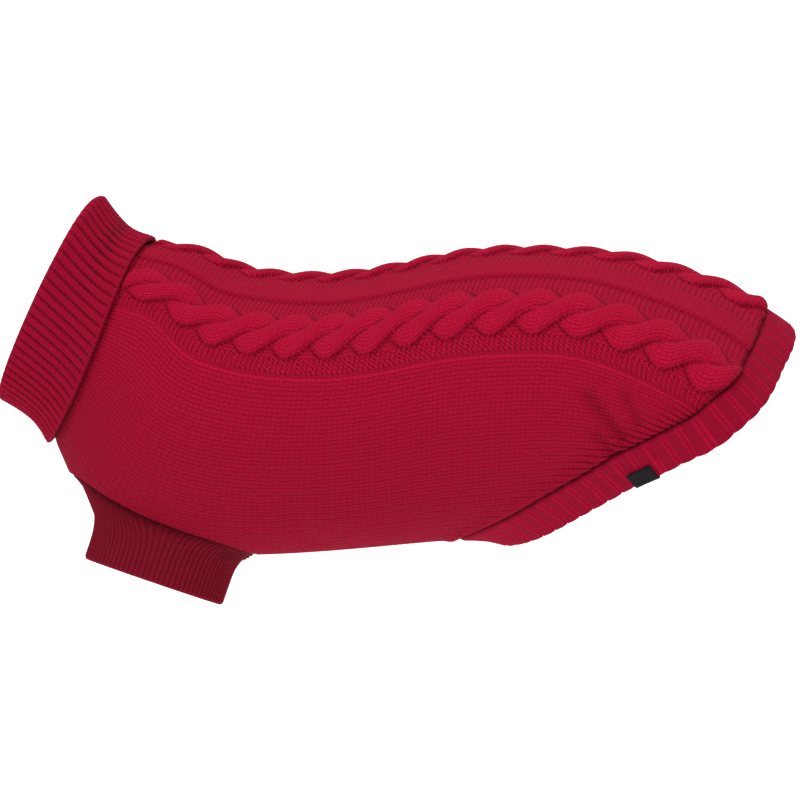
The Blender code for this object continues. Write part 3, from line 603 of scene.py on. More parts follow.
def strands(aside, course, sizes):
    """Height of a two-strand rope cable, its upper strand, the place across it and its painted
    shade.
    """
    turn = math.pi * (course - FIRST_CROSSING) / CROSSING
    shape = np.broadcast(aside, course).shape
    top = np.zeros(shape)
    place = np.asarray(aside, float) * np.ones(shape)
    bed = np.clip(1.0 - (aside / (CABLE_HALF + CABLE_BED_PAST)) ** 2, 0.0, None) ** 0.5
    height = CABLE_BED * bed * np.ones(shape)
    edges = []
    for number, way in enumerate((1.0, -1.0)):
        middle = way * sizes.strand_swing * np.sin(turn)
        lift = way * sizes.strand_lift * np.cos(turn)
        from_middle = aside - middle
        inside = np.clip(1.0 - (from_middle / sizes.strand_half) ** 2, 0.0, None)
        crown = sizes.strand_rise * inside ** STRAND_ROUND
        strand = np.where(inside > 0.0, lift + crown, 0.0)
        edges.append((np.abs(from_middle) - sizes.strand_half, lift, strand))
        over = strand > height
        height = np.where(over, strand, height)
        top = np.where(over, number + 1.0, top)
        place = np.where(over, from_middle, place)
    # Painted shade along each strand's edge where it shows over the other strand
    shade = np.zeros(shape)
    for (past, lift, _), (_, _, other) in zip(edges, edges[::-1]):
        line = mound(past, (1.0, 0.0, sizes.crevice))
        shade = np.maximum(shade, ramp(lift - other, *CREVICE_SHOWN) * line)
    return height, top, place, shade


def folds(wale, course):
    """Depth of the soft folds, as a sum of troughs along short lines."""
    depth = np.zeros(np.broadcast(wale, course).shape)
    for row in FOLDS:
        fold = dict(zip(FOLD_COLUMNS, row))
        a = np.array([fold["side"] * fold["wale_a"], fold["course_a"]], float)
        b = np.array([fold["side"] * fold["wale_b"], fold["course_b"]], float)
        span = b - a
        share = ((wale - a[0]) * span[0] + (course - a[1]) * span[1]) / (span @ span)
        share = np.clip(share, 0.0, 1.0)
        away = np.hypot(wale - a[0] - share * span[0], course - a[1] - share * span[1])
        depth += mound(away, (fold["depth"], 0.0, fold["width"]))
    return depth


def purl_share(wale):
    """1 on the purl grounds beside the band and the cables, 0 on the plain knit."""
    away = np.abs(wale)
    past_band = ramp(away, BAND_HALF, BAND_HALF + PURL_SOFT)
    before_ridge = 1.0 - ramp(away, RIDGE - PURL_SOFT, RIDGE)
    return past_band * before_ridge * ramp(np.abs(away - CABLE_MIDDLE), *CABLE_EDGE)


def column_swell(number):
    """Rounded columns of plain knit, deepest at whole numbers."""
    return np.abs(np.sin(math.pi * number)) ** COLUMN_ROUND - 1.0


def back_surface(wale, course, hem_gap, side_gap, sizes):
    """Height of the back panel over the purl ground, and its painted light and shade, from -1 dark
    to 1 light.
    """
    away = np.abs(wale)
    past_band = away - BAND_HALF
    past_ridge = away - RIDGE
    purl = purl_share(wale)
    folded = folds(wale, course)
    aside = wale - np.sign(wale) * CABLE_MIDDLE
    cable, top, place, crevice = strands(aside, course, sizes)
    grown = ramp(course, *RELIEF)

    band = BAND_RISE * (1.0 - ramp(past_band, *BAND_SLOPE))
    side = SIDE_RISE * ramp(past_ridge, *SIDE_SLOPE)
    form = grown * (band + np.maximum(side, cable) + mound(past_ridge, RIDGE_MOUND)) - folded
    pucker = mound(hem_gap, PUCKER) * ramp(away, *PUCKER_WALES) * ramp(course, *PUCKER_COURSES)
    number = np.where(top > 0.0, place / sizes.strand_wale + 0.5, wale / sizes.wale)
    depth = BACK_COLUMN_DEPTH * (1.0 - purl) + PUCKER_DEPTH * pucker
    edges = mound(hem_gap, HEM_SWELL) - mound(hem_gap, HEM_DIP) - mound(side_gap, SEAM_DIP)

    # A painted highlight and painted shade along the ridge, painted shade in the cables' crevices
    # and between the puckers
    ridge_painted_line = mound(past_ridge, RIDGE_PAINTED_LIGHT) - mound(past_ridge, RIDGE_PAINTED_SHADE)
    cable_painted_shade = np.where(np.abs(aside) < CABLE_HALF + CREVICE_PAST, crevice, 0.0)
    strength, kept = PUCKER_PAINTED_SHADE
    pucker_painted_shade = strength * pucker * (kept - np.abs(np.sin(math.pi * number)))
    painted_shading = STRAND_PAINTED_LIGHT * (top > 0.0) + PURL_PAINTED_SHADE * purl
    painted_shading = painted_shading + ridge_painted_line * ramp(course, *RIDGE_LINE_GROWTH)
    # Painted shade down the sides
    for shade in SIDE_PAINTED_SHADES:
        painted_shading = painted_shading - ramp(past_ridge, *shade)
    # Painted shade beside the band, at the hem seam and at the side seams
    painted_shading = painted_shading - grown * np.maximum(mound(past_band, BAND_PAINTED_SHADE), cable_painted_shade)
    painted_shading = painted_shading - mound(hem_gap, HEM_PAINTED_SHADE) - mound(side_gap, SEAM_PAINTED_SHADE)
    painted_shading = painted_shading - np.clip(pucker_painted_shade, 0.0, 1.0) - ramp(course, *FOLD_PAINTED_SHADE) * folded
    return form + depth * column_swell(number) + edges, np.clip(painted_shading, -1.0, 1.0)


def rib_form(number):
    """The ribs' crowns, highest between whole numbers, and the grooves at them."""
    crown = np.abs(np.sin(math.pi * number)) ** RIB_ROUND
    return crown, mound(number - np.round(number), RIB_GROOVE)


# ---------------------------------------------------------------- meshes


def clamped_grid(columns, rows, row_end, column_end):
    """A grid whose rows stop at row_end(column) and whose columns stop at column_end(row, side)."""
    x, y = np.meshgrid(columns, rows, indexing="ij")
    y = np.minimum(y, row_end(x))
    x = np.clip(x, -column_end(y, -1.0), column_end(y, 1.0))
    points = np.stack([x, y], axis=-1).reshape(-1, 2)
    keys, first, index = np.unique(
        np.round(points, 3), axis=0, return_index=True, return_inverse=True
    )
    index = index.reshape(x.shape)
    quads = np.stack(
        [index[:-1, :-1], index[1:, :-1], index[1:, 1:], index[:-1, 1:]], axis=-1
    ).reshape(-1, 4)
    faces = []
    for quad in quads.tolist():
        corners = [c for k, c in enumerate(quad) if c != quad[k - 1]]
        if len(set(corners)) == len(corners) and len(corners) > 2:
            faces.append(tuple(corners))
    used = np.unique([c for face in faces for c in face])
    renumber = np.full(len(keys), -1)
    renumber[used] = np.arange(len(used))
    return points[first][used], [tuple(renumber[c] for c in face) for face in faces]


def border(faces):
    """The outer edge of a sheet of faces, as an ordered loop."""
    directed = {}
    for face in faces:
        for k, corner in enumerate(face):
            directed[(face[k - 1], corner)] = True
    following = {a: b for a, b in directed if (b, a) not in directed}
    start = min(following)
    loop = [start]
    while following[loop[-1]] != start:
        loop.append(following[loop[-1]])
    if len(loop) != len(following):
        raise RuntimeError("the sheet's edge isn't one loop")
    return loop


def bridge(points_a, loop_a, points_b, loop_b, shift):
    """Triangles between two borders with different numbers of points."""
    corner = points_a[loop_a].min(axis=0)

    def ordered(points, loop):
        first = int(np.argmin(np.abs(points[loop] - corner).sum(axis=1)))
        loop = loop[first:] + loop[:first]
        length = running_length(points[loop + loop[:1]])
        return loop, length / length[-1]

    loop_a, share_a = ordered(points_a, loop_a)
    loop_b, share_b = ordered(points_b, loop_b)
    count_a, count_b = len(loop_a), len(loop_b)
    faces = []
    i = j = 0
    while i < count_a or j < count_b:
        a = loop_a[i % count_a]
        b = loop_b[j % count_b] + shift
        if j == count_b or (i < count_a and share_a[i + 1] <= share_b[j + 1]):
            faces.append((loop_a[(i + 1) % count_a], a, b))
            i += 1
        else:
            faces.append((a, b, loop_b[(j + 1) % count_b] + shift))
            j += 1
    return faces


def two_skins(outer, outer_faces, inner, inner_faces):
    """Faces of a panel: its outer skin, its inner skin turned over and the edge between them."""
    shift = len(outer)
    faces = outer_faces + [tuple(c + shift for c in face[::-1]) for face in inner_faces]
    return faces + bridge(outer, border(outer_faces), inner, border(inner_faces), shift)


def panel_marks(purl, painted_shading, inner_count):
    """Marks of a panel, whose inner skin is purl all over, with a little painted shade."""
    return {
        "purl": np.concatenate([purl, np.ones(inner_count)]),
        "painted_shading": np.concatenate([painted_shading, np.full(inner_count, INSIDE_PAINTED_SHADE)]),
    }


def add_object(name, data):
    """A new object in the scene."""
    thing = bpy.data.objects.new(name, data)
    bpy.context.scene.collection.objects.link(thing)
    return thing


def make_piece(name, points, faces, stitch, marks, material, node):
    """A shown piece in place of a node: points in millimetres, its stitch map and its marks.

    The stitch map is a function from the faces to the place of each of their corners.
    The marks are values for each point: purl is 1 on the reverse side of the stitch,
    painted_shading is painted shade and painted light, from -1 in a crevice to 1 on a bright crown.
    """
    if signed_volume(points, faces) < 0.0:
        faces = [face[::-1] for face in faces]
    mesh = bpy.data.meshes.new(name)
    mesh.from_pydata(((points - ORIGIN) * MM).tolist(), [], faces)
    mesh.shade_smooth()
    mesh.materials.append(material)
    layer = mesh.uv_layers.new(name="stitches")
    layer.data.foreach_set("uv", np.asarray(stitch(faces), np.float32).ravel())
    for mark, values in marks.items():
        attribute = mesh.attributes.new(mark, "FLOAT", "POINT")
        attribute.data.foreach_set("value", np.asarray(values, np.float32))
    piece = add_object(name, mesh)
    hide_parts(node)
    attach(piece, "root")
    return piece


def signed_volume(points, faces):
    """Volume inside the faces, below 0 when they face inwards."""
    corners = np.array([
        (face[0], face[k], face[k + 1]) for face in faces for k in range(1, len(face) - 1)
    ])
    a, b, c = (points[corners[:, k]] for k in range(3))
    return float(np.einsum("ij,ij->i", a, np.cross(b, c)).sum()) / 6.0


def corners_of(faces):
    """The point at each corner of the faces, and the corner's face."""
    sizes = [len(face) for face in faces]
    corners = np.fromiter((c for face in faces for c in face), int)
    return corners, np.repeat(np.arange(len(faces)), sizes)


def ring_faces(row_count, count):
    faces = []
    for r in range(row_count):
        here, there = r * count, (r + 1) % row_count * count
        for i in range(count):
            j = (i + 1) % count
            faces.append((here + i, here + j, there + j, there + i))
    return faces


def ring_piece(name, rows, stitch_rows, around, marks, material, node):
    """A ribbed tube that closes on itself: rows of points in the order of its profile."""
    count = len(rows[0])
    columns = np.append(around, 2.0 * around[-1] - around[-2])
    down = np.append(stitch_rows, stitch_rows[-1] + 1.0)

    def stitch(faces):
        row, column = np.divmod(np.array(faces), count)
        closes = column.max(axis=1, keepdims=True) - column == count - 1
        row_closes = row.max(axis=1, keepdims=True) - row == len(rows) - 1
        uv = [columns[column + count * closes], down[row + len(rows) * row_closes]]
        return np.stack(uv, axis=-1)

    marks = {mark: np.concatenate(values) for mark, values in marks.items()}
    faces = ring_faces(len(rows), count)
    return make_piece(name, np.concatenate(rows), faces, stitch, marks, material, node)


# ---------------------------------------------------------------- materials


def fill(tree, node, inputs):
    """Fills a node's inputs; each is a value, or an output to link from."""
    for name, value in inputs.items():
        if isinstance(value, bpy.types.NodeSocket):
            tree.links.new(value, node.inputs[name])
        else:
            node.inputs[name].default_value = value
    return node


def add_node(tree, kind, inputs, output=0, **settings):
    """Adds a node with its settings, fills its inputs and gives one of its outputs."""
    node = tree.nodes.new(kind)
    for name, value in settings.items():
        setattr(node, name, value)
    return fill(tree, node, inputs).outputs[output]


def new_material(name):
    """A material, its node tree and its shader."""
    material = bpy.data.materials.new(name)
    material.use_nodes = True
    tree = material.node_tree
    return material, tree, tree.nodes["Principled BSDF"]


def stitch_height(tree):
    """Height of the yarn in a stitch, from 0 in the gaps to 1: V-shaped loops or purl bars."""
    place = add_node(tree, "ShaderNodeUVMap", {}, uv_map="stitches")
    purl = add_node(tree, "ShaderNodeAttribute", {}, "Fac", attribute_name="purl")
    sway = add_node(
        tree, "ShaderNodeTexNoise", {"Vector": place, "Scale": SWAY_SCALE, "Detail": 1.0},
        "Fac", noise_dimensions="2D",
    )
    drift = add_node(
        tree, "ShaderNodeMath", {0: sway, 1: SWAY, 2: -SWAY / 2.0}, operation="MULTIPLY_ADD"
    )
    swayed = add_node(tree, "ShaderNodeVectorMath", {0: place, 1: drift}, operation="ADD")
    across = add_node(tree, "ShaderNodeSeparateXYZ", {"Vector": swayed}, "X")
    down = across.node.outputs["Y"]
    fold = add_node(tree, "ShaderNodeMath", {0: across, 1: 0.5}, operation="PINGPONG")
    slope = add_node(
        tree, "ShaderNodeMapRange", {"Value": purl, "To Min": LEG_SLOPE, "To Max": BAR_SLOPE}
    )
    half_columns = add_node(tree, "ShaderNodeMath", {0: across, 1: 2.0}, operation="MULTIPLY")
    saw = add_node(tree, "ShaderNodeMath", {0: half_columns}, operation="FRACT")
    lean = add_node(
        tree, "ShaderNodeMix", {"Factor": purl, "A": fold, "B": saw}, data_type="FLOAT"
    )
    slant = add_node(
        tree, "ShaderNodeMath", {0: lean, 1: slope, 2: down}, operation="MULTIPLY_ADD"
    )
    row = add_node(tree, "ShaderNodeMath", {0: slant, 1: 0.5}, operation="PINGPONG")
    row_gap = add_node(
        tree, "ShaderNodeMapRange", {"Value": purl, "To Min": ROW_GAP, "To Max": BAR_GAP}
    )
    row_height = add_node(
        tree, "ShaderNodeMapRange", {"Value": row, "From Max": ROW_EDGE, "To Min": row_gap},
        interpolation_type="SMOOTHSTEP",
    )
    leg = add_node(tree, "ShaderNodeMath", {0: fold, 1: 0.25}, operation="PINGPONG")
    leg_height = add_node(
        tree, "ShaderNodeMapRange", {"Value": leg, "From Max": LEG_EDGE, "To Min": purl},
        interpolation_type="SMOOTHSTEP",
    )
    return add_node(
        tree, "ShaderNodeMath", {0: row_height, 1: leg_height}, operation="MULTIPLY"
    )


def wool_knit(name, crown, depth, contrast):
    """Wool-blend yarn, machine knitted in a chunky gauge.

    The loops get a painted highlight on their crowns and painted shade between them,
    and the painted_shading mark adds more painted light and shade; loose fibres
    give the turned-away edges a pale bloom.
    """
    material, tree, shader = new_material(name)
    height = stitch_height(tree)
    place = add_node(tree, "ShaderNodeTexCoord", {}, "Object")
    heather = add_node(
        tree, "ShaderNodeTexNoise",
        {"Vector": place, "Scale": 1.0 / (FIBRE_TUFT * MM), "Detail": 2.0}, "Fac",
    )
    # The random heather, plus the painted light and shade of each point
    painted_shading = add_node(tree, "ShaderNodeAttribute", {}, "Fac", attribute_name="painted_shading")
    heather_and_painted_shading = add_node(
        tree, "ShaderNodeMath", {0: heather, 1: HEATHER, 2: painted_shading}, operation="MULTIPLY_ADD"
    )
    purl = add_node(tree, "ShaderNodeAttribute", {}, "Fac", attribute_name="purl")
    strength = add_node(
        tree, "ShaderNodeMapRange",
        {"Value": purl, "To Min": contrast, "To Max": contrast * PURL_CONTRAST},
    )
    level = add_node(
        tree, "ShaderNodeMath", {0: height, 1: strength, 2: heather_and_painted_shading}, operation="MULTIPLY_ADD"
    )
    share = add_node(
        tree, "ShaderNodeMapRange",
        {"Value": level, "From Min": SHADE_LEVELS[0], "From Max": SHADE_LEVELS[1]},
    )
    painted_shades = add_node(tree, "ShaderNodeValToRGB", {"Fac": share}, "Color")
    elements = painted_shades.node.color_ramp.elements
    while len(elements) < len(YARN_PAINTED_SHADES):
        elements.new(0.5)
    for element, (position, factor) in zip(elements, YARN_PAINTED_SHADES):
        element.position = position
        element.color = (*(min(factor * c, 1.0) for c in crown), 1.0)
    relief = add_node(
        tree, "ShaderNodeMath", {0: heather, 1: FIBRE_RELIEF, 2: height},
        operation="MULTIPLY_ADD",
    )
    fill(tree, shader, {
        "Base Color": painted_shades,
        "Normal": add_node(
            tree, "ShaderNodeBump", {"Height": relief, "Strength": 1.0, "Distance": depth * MM}
        ),
        "Roughness": 0.95,
        "Specular IOR Level": 0.06,
        "Sheen Weight": 0.06,
        "Sheen Roughness": 0.5,
        "Sheen Tint": (*linear("#F07090"), 1.0),
    })
    return material


def woven_satin(name, colour):
    """Polyester satin, woven narrow and heat cut.

    The long floats give a soft streak of light across a near-black face.
    """
    material, tree, shader = new_material(name)
    place = add_node(tree, "ShaderNodeTexCoord", {}, "Object")
    threads = add_node(
        tree, "ShaderNodeTexWave",
        {"Vector": place, "Scale": 1.0 / (WAVE_TURNS * SATIN_THREAD * MM), "Distortion": 1.5},
        "Fac", bands_direction="DIAGONAL",
    )
    dust = add_node(
        tree, "ShaderNodeTexNoise",
        {"Vector": place, "Scale": 1.0 / (SATIN_DUST * MM), "Detail": 3.0}, "Fac",
    )
    fill(tree, shader, {
        "Base Color": add_node(
            tree, "ShaderNodeMix",
            {"Factor": dust, "A": (*colour, 1.0), "B": (*linear("#131112"), 1.0)},
            2, data_type="RGBA",
        ),
        "Normal": add_node(
            tree, "ShaderNodeBump",
            {"Height": threads, "Strength": 0.5, "Distance": SATIN_RISE * MM},
        ),
        "Roughness": 0.5,
        "Specular IOR Level": 0.12,
    })
    return material


def opal_sheet(name, colour):
    """Opal acrylic sheet, cast and lit from below: a white ground with faint shadows."""
    material, tree, shader = new_material(name)
    scale = 2.0 * FLOOR_HALF / (SHEET_TOOTH * MM)
    tooth = add_node(tree, "ShaderNodeTexNoise", {"Scale": scale, "Detail": 2.0}, "Fac")
    fill(tree, shader, {
        "Normal": add_node(tree, "ShaderNodeBump", {"Height": tooth, "Strength": 0.05}),
        "Base Color": (*colour, 1.0),
        "Emission Color": (*colour, 1.0),
        "Emission Strength": 0.3,
        "Roughness": 0.95,
        "Specular IOR Level": 0.0,
    })
    return material


# ---------------------------------------------------------------- settings


class KnitSizes(bpy.types.PropertyGroup):
    """Sizes of the stitches, cables and ribs."""

    wale: bpy.props.FloatProperty(
        name="Wale", description="Width of one column of plain knit",
        default=4.8 * MM, min=2.0 * MM, unit="LENGTH", precision=4,
    )
    course: bpy.props.FloatProperty(
        name="Course", description="Height of one row of stitches",
        default=3.3 * MM, min=1.5 * MM, unit="LENGTH", precision=4,
    )
    strand_half: bpy.props.FloatProperty(
        name="Strand half width", description="Half width of a cable strand",
        default=9.8 * MM, min=4.0 * MM, unit="LENGTH", precision=4,
    )
    strand_swing: bpy.props.FloatProperty(
        name="Strand swing", description="How far a strand swings aside",
        default=8.4 * MM, min=0.0, unit="LENGTH", precision=4,
    )
    strand_rise: bpy.props.FloatProperty(
        name="Strand rise", description="Height of a strand over the purl ground",
        default=4.0 * MM, min=0.0, unit="LENGTH", precision=4,
    )
    strand_lift: bpy.props.FloatProperty(
        name="Strand lift", description="How far one strand passes over the other",
        default=1.9 * MM, min=0.0, unit="LENGTH", precision=4,
    )
    # Width of the painted shade line beside a strand
    crevice: bpy.props.FloatProperty(
        name="Crevice", description="Half width of the dark line beside a strand",
        default=0.8 * MM, min=0.1 * MM, unit="LENGTH", precision=4,
    )
    strand_wale: bpy.props.FloatProperty(
        name="Strand wale", description="Width of one column in a strand",
        default=4.9 * MM, min=2.0 * MM, unit="LENGTH", precision=4,
    )
    rib_rise: bpy.props.FloatProperty(
        name="Rib rise", description="Height of a collar rib over its grooves",
        default=1.9 * MM, min=0.0, unit="LENGTH", precision=4,
    )


class YarnColours(bpy.types.PropertyGroup):
    """Colours of the yarn in its parts, and of the label."""

    yarn: bpy.props.FloatVectorProperty(
        name="Yarn", description="Crowns of the stitches", subtype="COLOR",
        default=linear("#9C0A2B"), min=0.0, max=1.0,
    )
    rib: bpy.props.FloatVectorProperty(
        name="Collar rib", description="Crowns of the collar's ribs", subtype="COLOR",
        default=linear("#980A2C"), min=0.0, max=1.0,
    )
    # The sleeves' yarn, darker than the body's: partly for the denser rib, partly painted shade
    cuff_and_painted_shade: bpy.props.FloatVectorProperty(
        name="Sleeve rib", description="Crowns of the sleeves' ribs", subtype="COLOR",
        default=linear("#801226"), min=0.0, max=1.0,
    )
    label: bpy.props.FloatVectorProperty(
        name="Label", description="Satin of the label", subtype="COLOR",
        default=linear("#060505"), min=0.0, max=1.0,
    )


class StageSettings(bpy.types.PropertyGroup):
    """Floor and light."""

    floor: bpy.props.FloatVectorProperty(
        name="Floor", description="Colour of the lit floor", subtype="COLOR",
        default=linear("#FFFFFF"), min=0.0, max=1.0,
    )
    drop: bpy.props.FloatProperty(
        name="Floor drop", description="Height of the sleeves over the floor",
        default=200.0 * MM, min=1.0 * MM, unit="LENGTH", precision=4,
    )
    light: bpy.props.FloatProperty(
        name="Light", description="Strength of the studio lights, as a share of their power",
        default=1.0, min=0.0, subtype="FACTOR", soft_max=2.0,
    )


def in_millimetres(settings):
    """The lengths of a group of settings as plain numbers in millimetres."""
    return SimpleNamespace(**{
        name: getattr(settings, name) / MM for name in settings.__annotations__
    })


# ---------------------------------------------------------------- pieces


def hem_curve_in_wales():
    """The hem seam as a course for each wale, for the back panel's grid."""
    places = hem_places(*HEM_STEPS_FOR_BACK)[:HEM_STEPS_FOR_BACK[0] + 1]
    return wale_of(places[:, 0], places[:, 1]), places[:, 1]


def arm_edge_in_wales():
    """The back panel's side edge as a wale for each course, on each side."""
    course = np.linspace(0.0, LONGEST_COURSE, ARM_EDGE_STEPS)
    from_belly = belly_half(course) + SEAM_SHOWN + ARM_UP * arm_reach(course)
    return course, {
        side: np.abs(wale_of(from_other_line(side * from_belly, course), course))
        for side in SIDES
    }


def build_back(sizes, colours):
    """The back panel with its band, cables, purl grounds and plain sides."""
    hem_wale, hem_course = hem_curve_in_wales()
    hem_slope = np.gradient(hem_course, hem_wale)
    course_line, edges = arm_edge_in_wales()

    def row_end(wale):
        return np.interp(wale, hem_wale, hem_course)

    def column_end(course, side):
        return np.interp(course, course_line, edges[side])

    cabled = CABLED_COLUMNS * sizes.wale
    beside = np.arange(cabled, SIDE_EDGE + 1.0, sizes.wale / COLUMN_POINTS)
    fine_columns = np.concatenate([
        -beside[::-1], np.arange(-cabled + CABLE_STEP, cabled, CABLE_STEP), beside,
    ])
    fine_rows = np.append(np.arange(0.0, LONGEST_COURSE, ROW_STEP), LONGEST_COURSE)
    coarse_columns = np.linspace(-SIDE_EDGE, SIDE_EDGE, BACK_INNER_GRID[0])
    coarse_rows = np.linspace(0.0, LONGEST_COURSE, BACK_INNER_GRID[1])
    outer, outer_faces = clamped_grid(fine_columns, fine_rows, row_end, column_end)
    inner, inner_faces = clamped_grid(coarse_columns, coarse_rows, row_end, column_end)

    wale, course = outer.T
    hem_gap = (row_end(wale) - course) / np.hypot(1.0, np.interp(wale, hem_wale, hem_slope))
    side_gap = np.minimum(column_end(course, 1.0) - wale, column_end(course, -1.0) + wale)
    height, painted_shading = back_surface(wale, course, hem_gap, side_gap, sizes)
    spot, normal = body(across_of(wale, course), course)
    outside = spot + normal * height[:, None]
    spot, normal = body(across_of(*inner.T), inner[:, 1])
    inside = spot - normal * (WALL + folds(*inner.T))[:, None]

    flat = np.concatenate([outer, inner])
    piece = make_piece(
        "knit_back", np.concatenate([outside, inside]),
        two_skins(outer, outer_faces, inner, inner_faces),
        lambda faces: back_stitches(faces, flat, sizes),
        panel_marks(purl_share(wale), painted_shading, len(inner)),
        wool_knit(
            "wool blend, machine knitted, back", colours.yarn, depth=0.35, contrast=0.46
        ),
        "back_panel",
    )
    return piece


def back_stitches(faces, flat, sizes):
    """Stitch map of the back panel, in stitches, turned along the strands in the cables."""
    corners, face_of = corners_of(faces)
    wale, course = flat[corners].T
    totals = np.bincount(face_of)
    middle_wale = np.bincount(face_of, wale) / totals
    middle_course = np.bincount(face_of, course) / totals
    aside = middle_wale - np.sign(middle_wale) * CABLE_MIDDLE
    top = strands(aside, middle_course, sizes)[1][face_of]
    aside = wale - np.sign(middle_wale[face_of]) * CABLE_MIDDLE
    way = np.where(top == 1.0, 1.0, -1.0)
    turn = math.pi * (course - FIRST_CROSSING) / CROSSING
    middle = way * sizes.strand_swing * np.sin(turn)
    in_strand = (aside - middle) / sizes.strand_wale + 0.5
    across = np.where(top > 0.0, in_strand, wale / sizes.wale)
    return np.stack([across, course / sizes.course], axis=1)


def build_belly(sizes, colours):
    """The plain panel under the chest and belly; its columns count from the belly line."""
    back_steps = HEM_STEPS_FOR_BELLY[0]
    hem = np.roll(hem_places(*HEM_STEPS_FOR_BELLY), -back_steps, axis=0)
    hem = hem[:HEM_STEPS_FOR_BELLY[1] + 1]
    hem_from = from_other_line(*hem.T)
    order = np.argsort(hem_from)

    def row_end(across):
        return np.interp(across, hem_from[order], hem[order, 1])

    def column_end(course, _side):
        return belly_half(course) - SEAM_SHOWN - ARM_DOWN * arm_reach(course)

    def skin(flat, height):
        spot, normal = body(from_other_line(*flat.T), flat[:, 1])
        return spot + normal * np.reshape(height, (-1, 1))

    last = float(hem[:, 1].max())
    half = BELLY_COLUMNS * sizes.wale
    columns = np.arange(-half, half + 0.1, sizes.wale / COLUMN_POINTS)
    rows = np.append(np.arange(0.0, last, sizes.course / 2.0), last)
    outer, outer_faces = clamped_grid(columns, rows, row_end, column_end)
    coarse_columns = np.linspace(-BELLY_MOST, BELLY_MOST, BELLY_INNER_GRID[0])
    coarse_rows = np.linspace(0.0, last, BELLY_INNER_GRID[1])
    inner, inner_faces = clamped_grid(coarse_columns, coarse_rows, row_end, column_end)
    away = column_end(outer[:, 1], 1.0) - np.abs(outer[:, 0])
    height = SIDE_RISE * ramp(outer[:, 1], *RELIEF) - mound(away, SEAM_DIP)
    height = height + BELLY_COLUMN_DEPTH * column_swell(outer[:, 0] / sizes.wale)
    stitches = np.concatenate([outer, inner]) / np.array([sizes.wale, sizes.course])
    piece = make_piece(
        "knit_belly", np.concatenate([skin(outer, height), skin(inner, -WALL)]),
        two_skins(outer, outer_faces, inner, inner_faces),
        lambda faces: stitches[corners_of(faces)[0]],
        # Painted shade along the side seams
        panel_marks(np.zeros(len(outer)), -mound(away, BELLY_SEAM_PAINTED_SHADE), len(inner)),
        wool_knit(
            "wool blend, machine knitted, belly", colours.yarn, depth=0.35, contrast=0.46
        ),
        "belly_panel",
    )
    return piece


def build_collar(sizes, colours):
    """The folded collar, ribbed one by one, with a bound-off edge."""
    count = COLLAR_RIB_STEPS * COLLAR_RIBS
    number = np.arange(count) / COLLAR_RIB_STEPS
    crown, groove = rib_form(number)
    rib = sizes.rib_rise * crown
    around = (np.arange(count) + 0.5) / count * 2.0
    around = np.where(around < 1.0, around, around - 2.0)
    under = COLLAR_INNER_TOP + COLLAR_BETWEEN
    face = under + COLLAR_LAYER - COLLAR_FACE_SINK
    free_face = COLLAR_OVER + COLLAR_LAYER - COLLAR_FREE_SINK
    bend = (face + WALL) / 2.0
    bend_middle = (face - WALL) / 2.0
    slot = FOLD_COURSE + bend + COLLAR_FOLD_IN

    def row(course, height, ribbed, shade):
        spot, normal = body(around * own_half_girth(around, course), course)
        points = spot + normal * (height + rib * ribbed)[:, None]
        # Painted shade in the grooves between the ribs
        return points, shade - COLLAR_GROOVE_PAINTED_SHADE * min(abs(ribbed), 1.0) * groove

    # Stations of the profile: course, height, share of the ribs, painted light and shade
    profile = [(-SEAM_GAP, -WALL, -0.3, -0.4)]
    profile += [(course, -WALL, -0.45, -0.2) for course in np.linspace(-4.0, slot, 9)]
    for turn in np.linspace(0.0, math.pi, 9)[1:-1]:
        sin, cos = math.sin(turn), math.cos(turn)
        course = FOLD_COURSE + bend * (1.0 - sin) + 0.05
        profile.append((course, bend_middle - bend * cos, 0.5 - 0.5 * cos, 0.1))
    first = FOLD_COURSE + bend + 1.0
    last = COLLAR_FREE - COLLAR_BOUND_OFF
    for k in range(COLLAR_ROWS):
        part = k / (COLLAR_ROWS - 1.0)
        lifted = max(part - COLLAR_FLAT_SHARE, 0.0) / (1.0 - COLLAR_FLAT_SHARE)
        lift = face + (free_face - face) * lifted
        ripple = COLLAR_ROW_RIPPLE * (-1.0) ** k
        profile.append((first + (last - first) * part, lift + ripple, 1.0, 0.1))
    profile += [
        (COLLAR_FREE + past, free_face + lift, ribbed, shade)
        for past, lift, ribbed, shade in COLLAR_FREE_EDGE
    ]
    profile += [
        (course, height, 0.0, HIDDEN_TONE) for course, height in (
            (COLLAR_FREE - 0.6, COLLAR_OVER), (COLLAR_FREE - 5.0, COLLAR_OVER - 0.2),
            (slot, under), (slot, COLLAR_INNER_TOP), (-SEAM_GAP, COLLAR_INNER_TOP),
        )
    ]
    rows, painted_shading = zip(*(row(*station) for station in profile))
    middle_line = np.array([r.mean(axis=0) for r in rows])
    stitch_rows = running_length(middle_line) / (sizes.course * COLLAR_ROW_SHARE)
    marks = {"purl": [0.5 * groove] * len(rows), "painted_shading": painted_shading}
    material = wool_knit(
        "wool blend, rib knitted, collar", colours.rib, depth=0.25, contrast=0.25
    )
    piece = ring_piece("rib_collar", rows, stitch_rows, number, marks, material, "collar")
    return piece


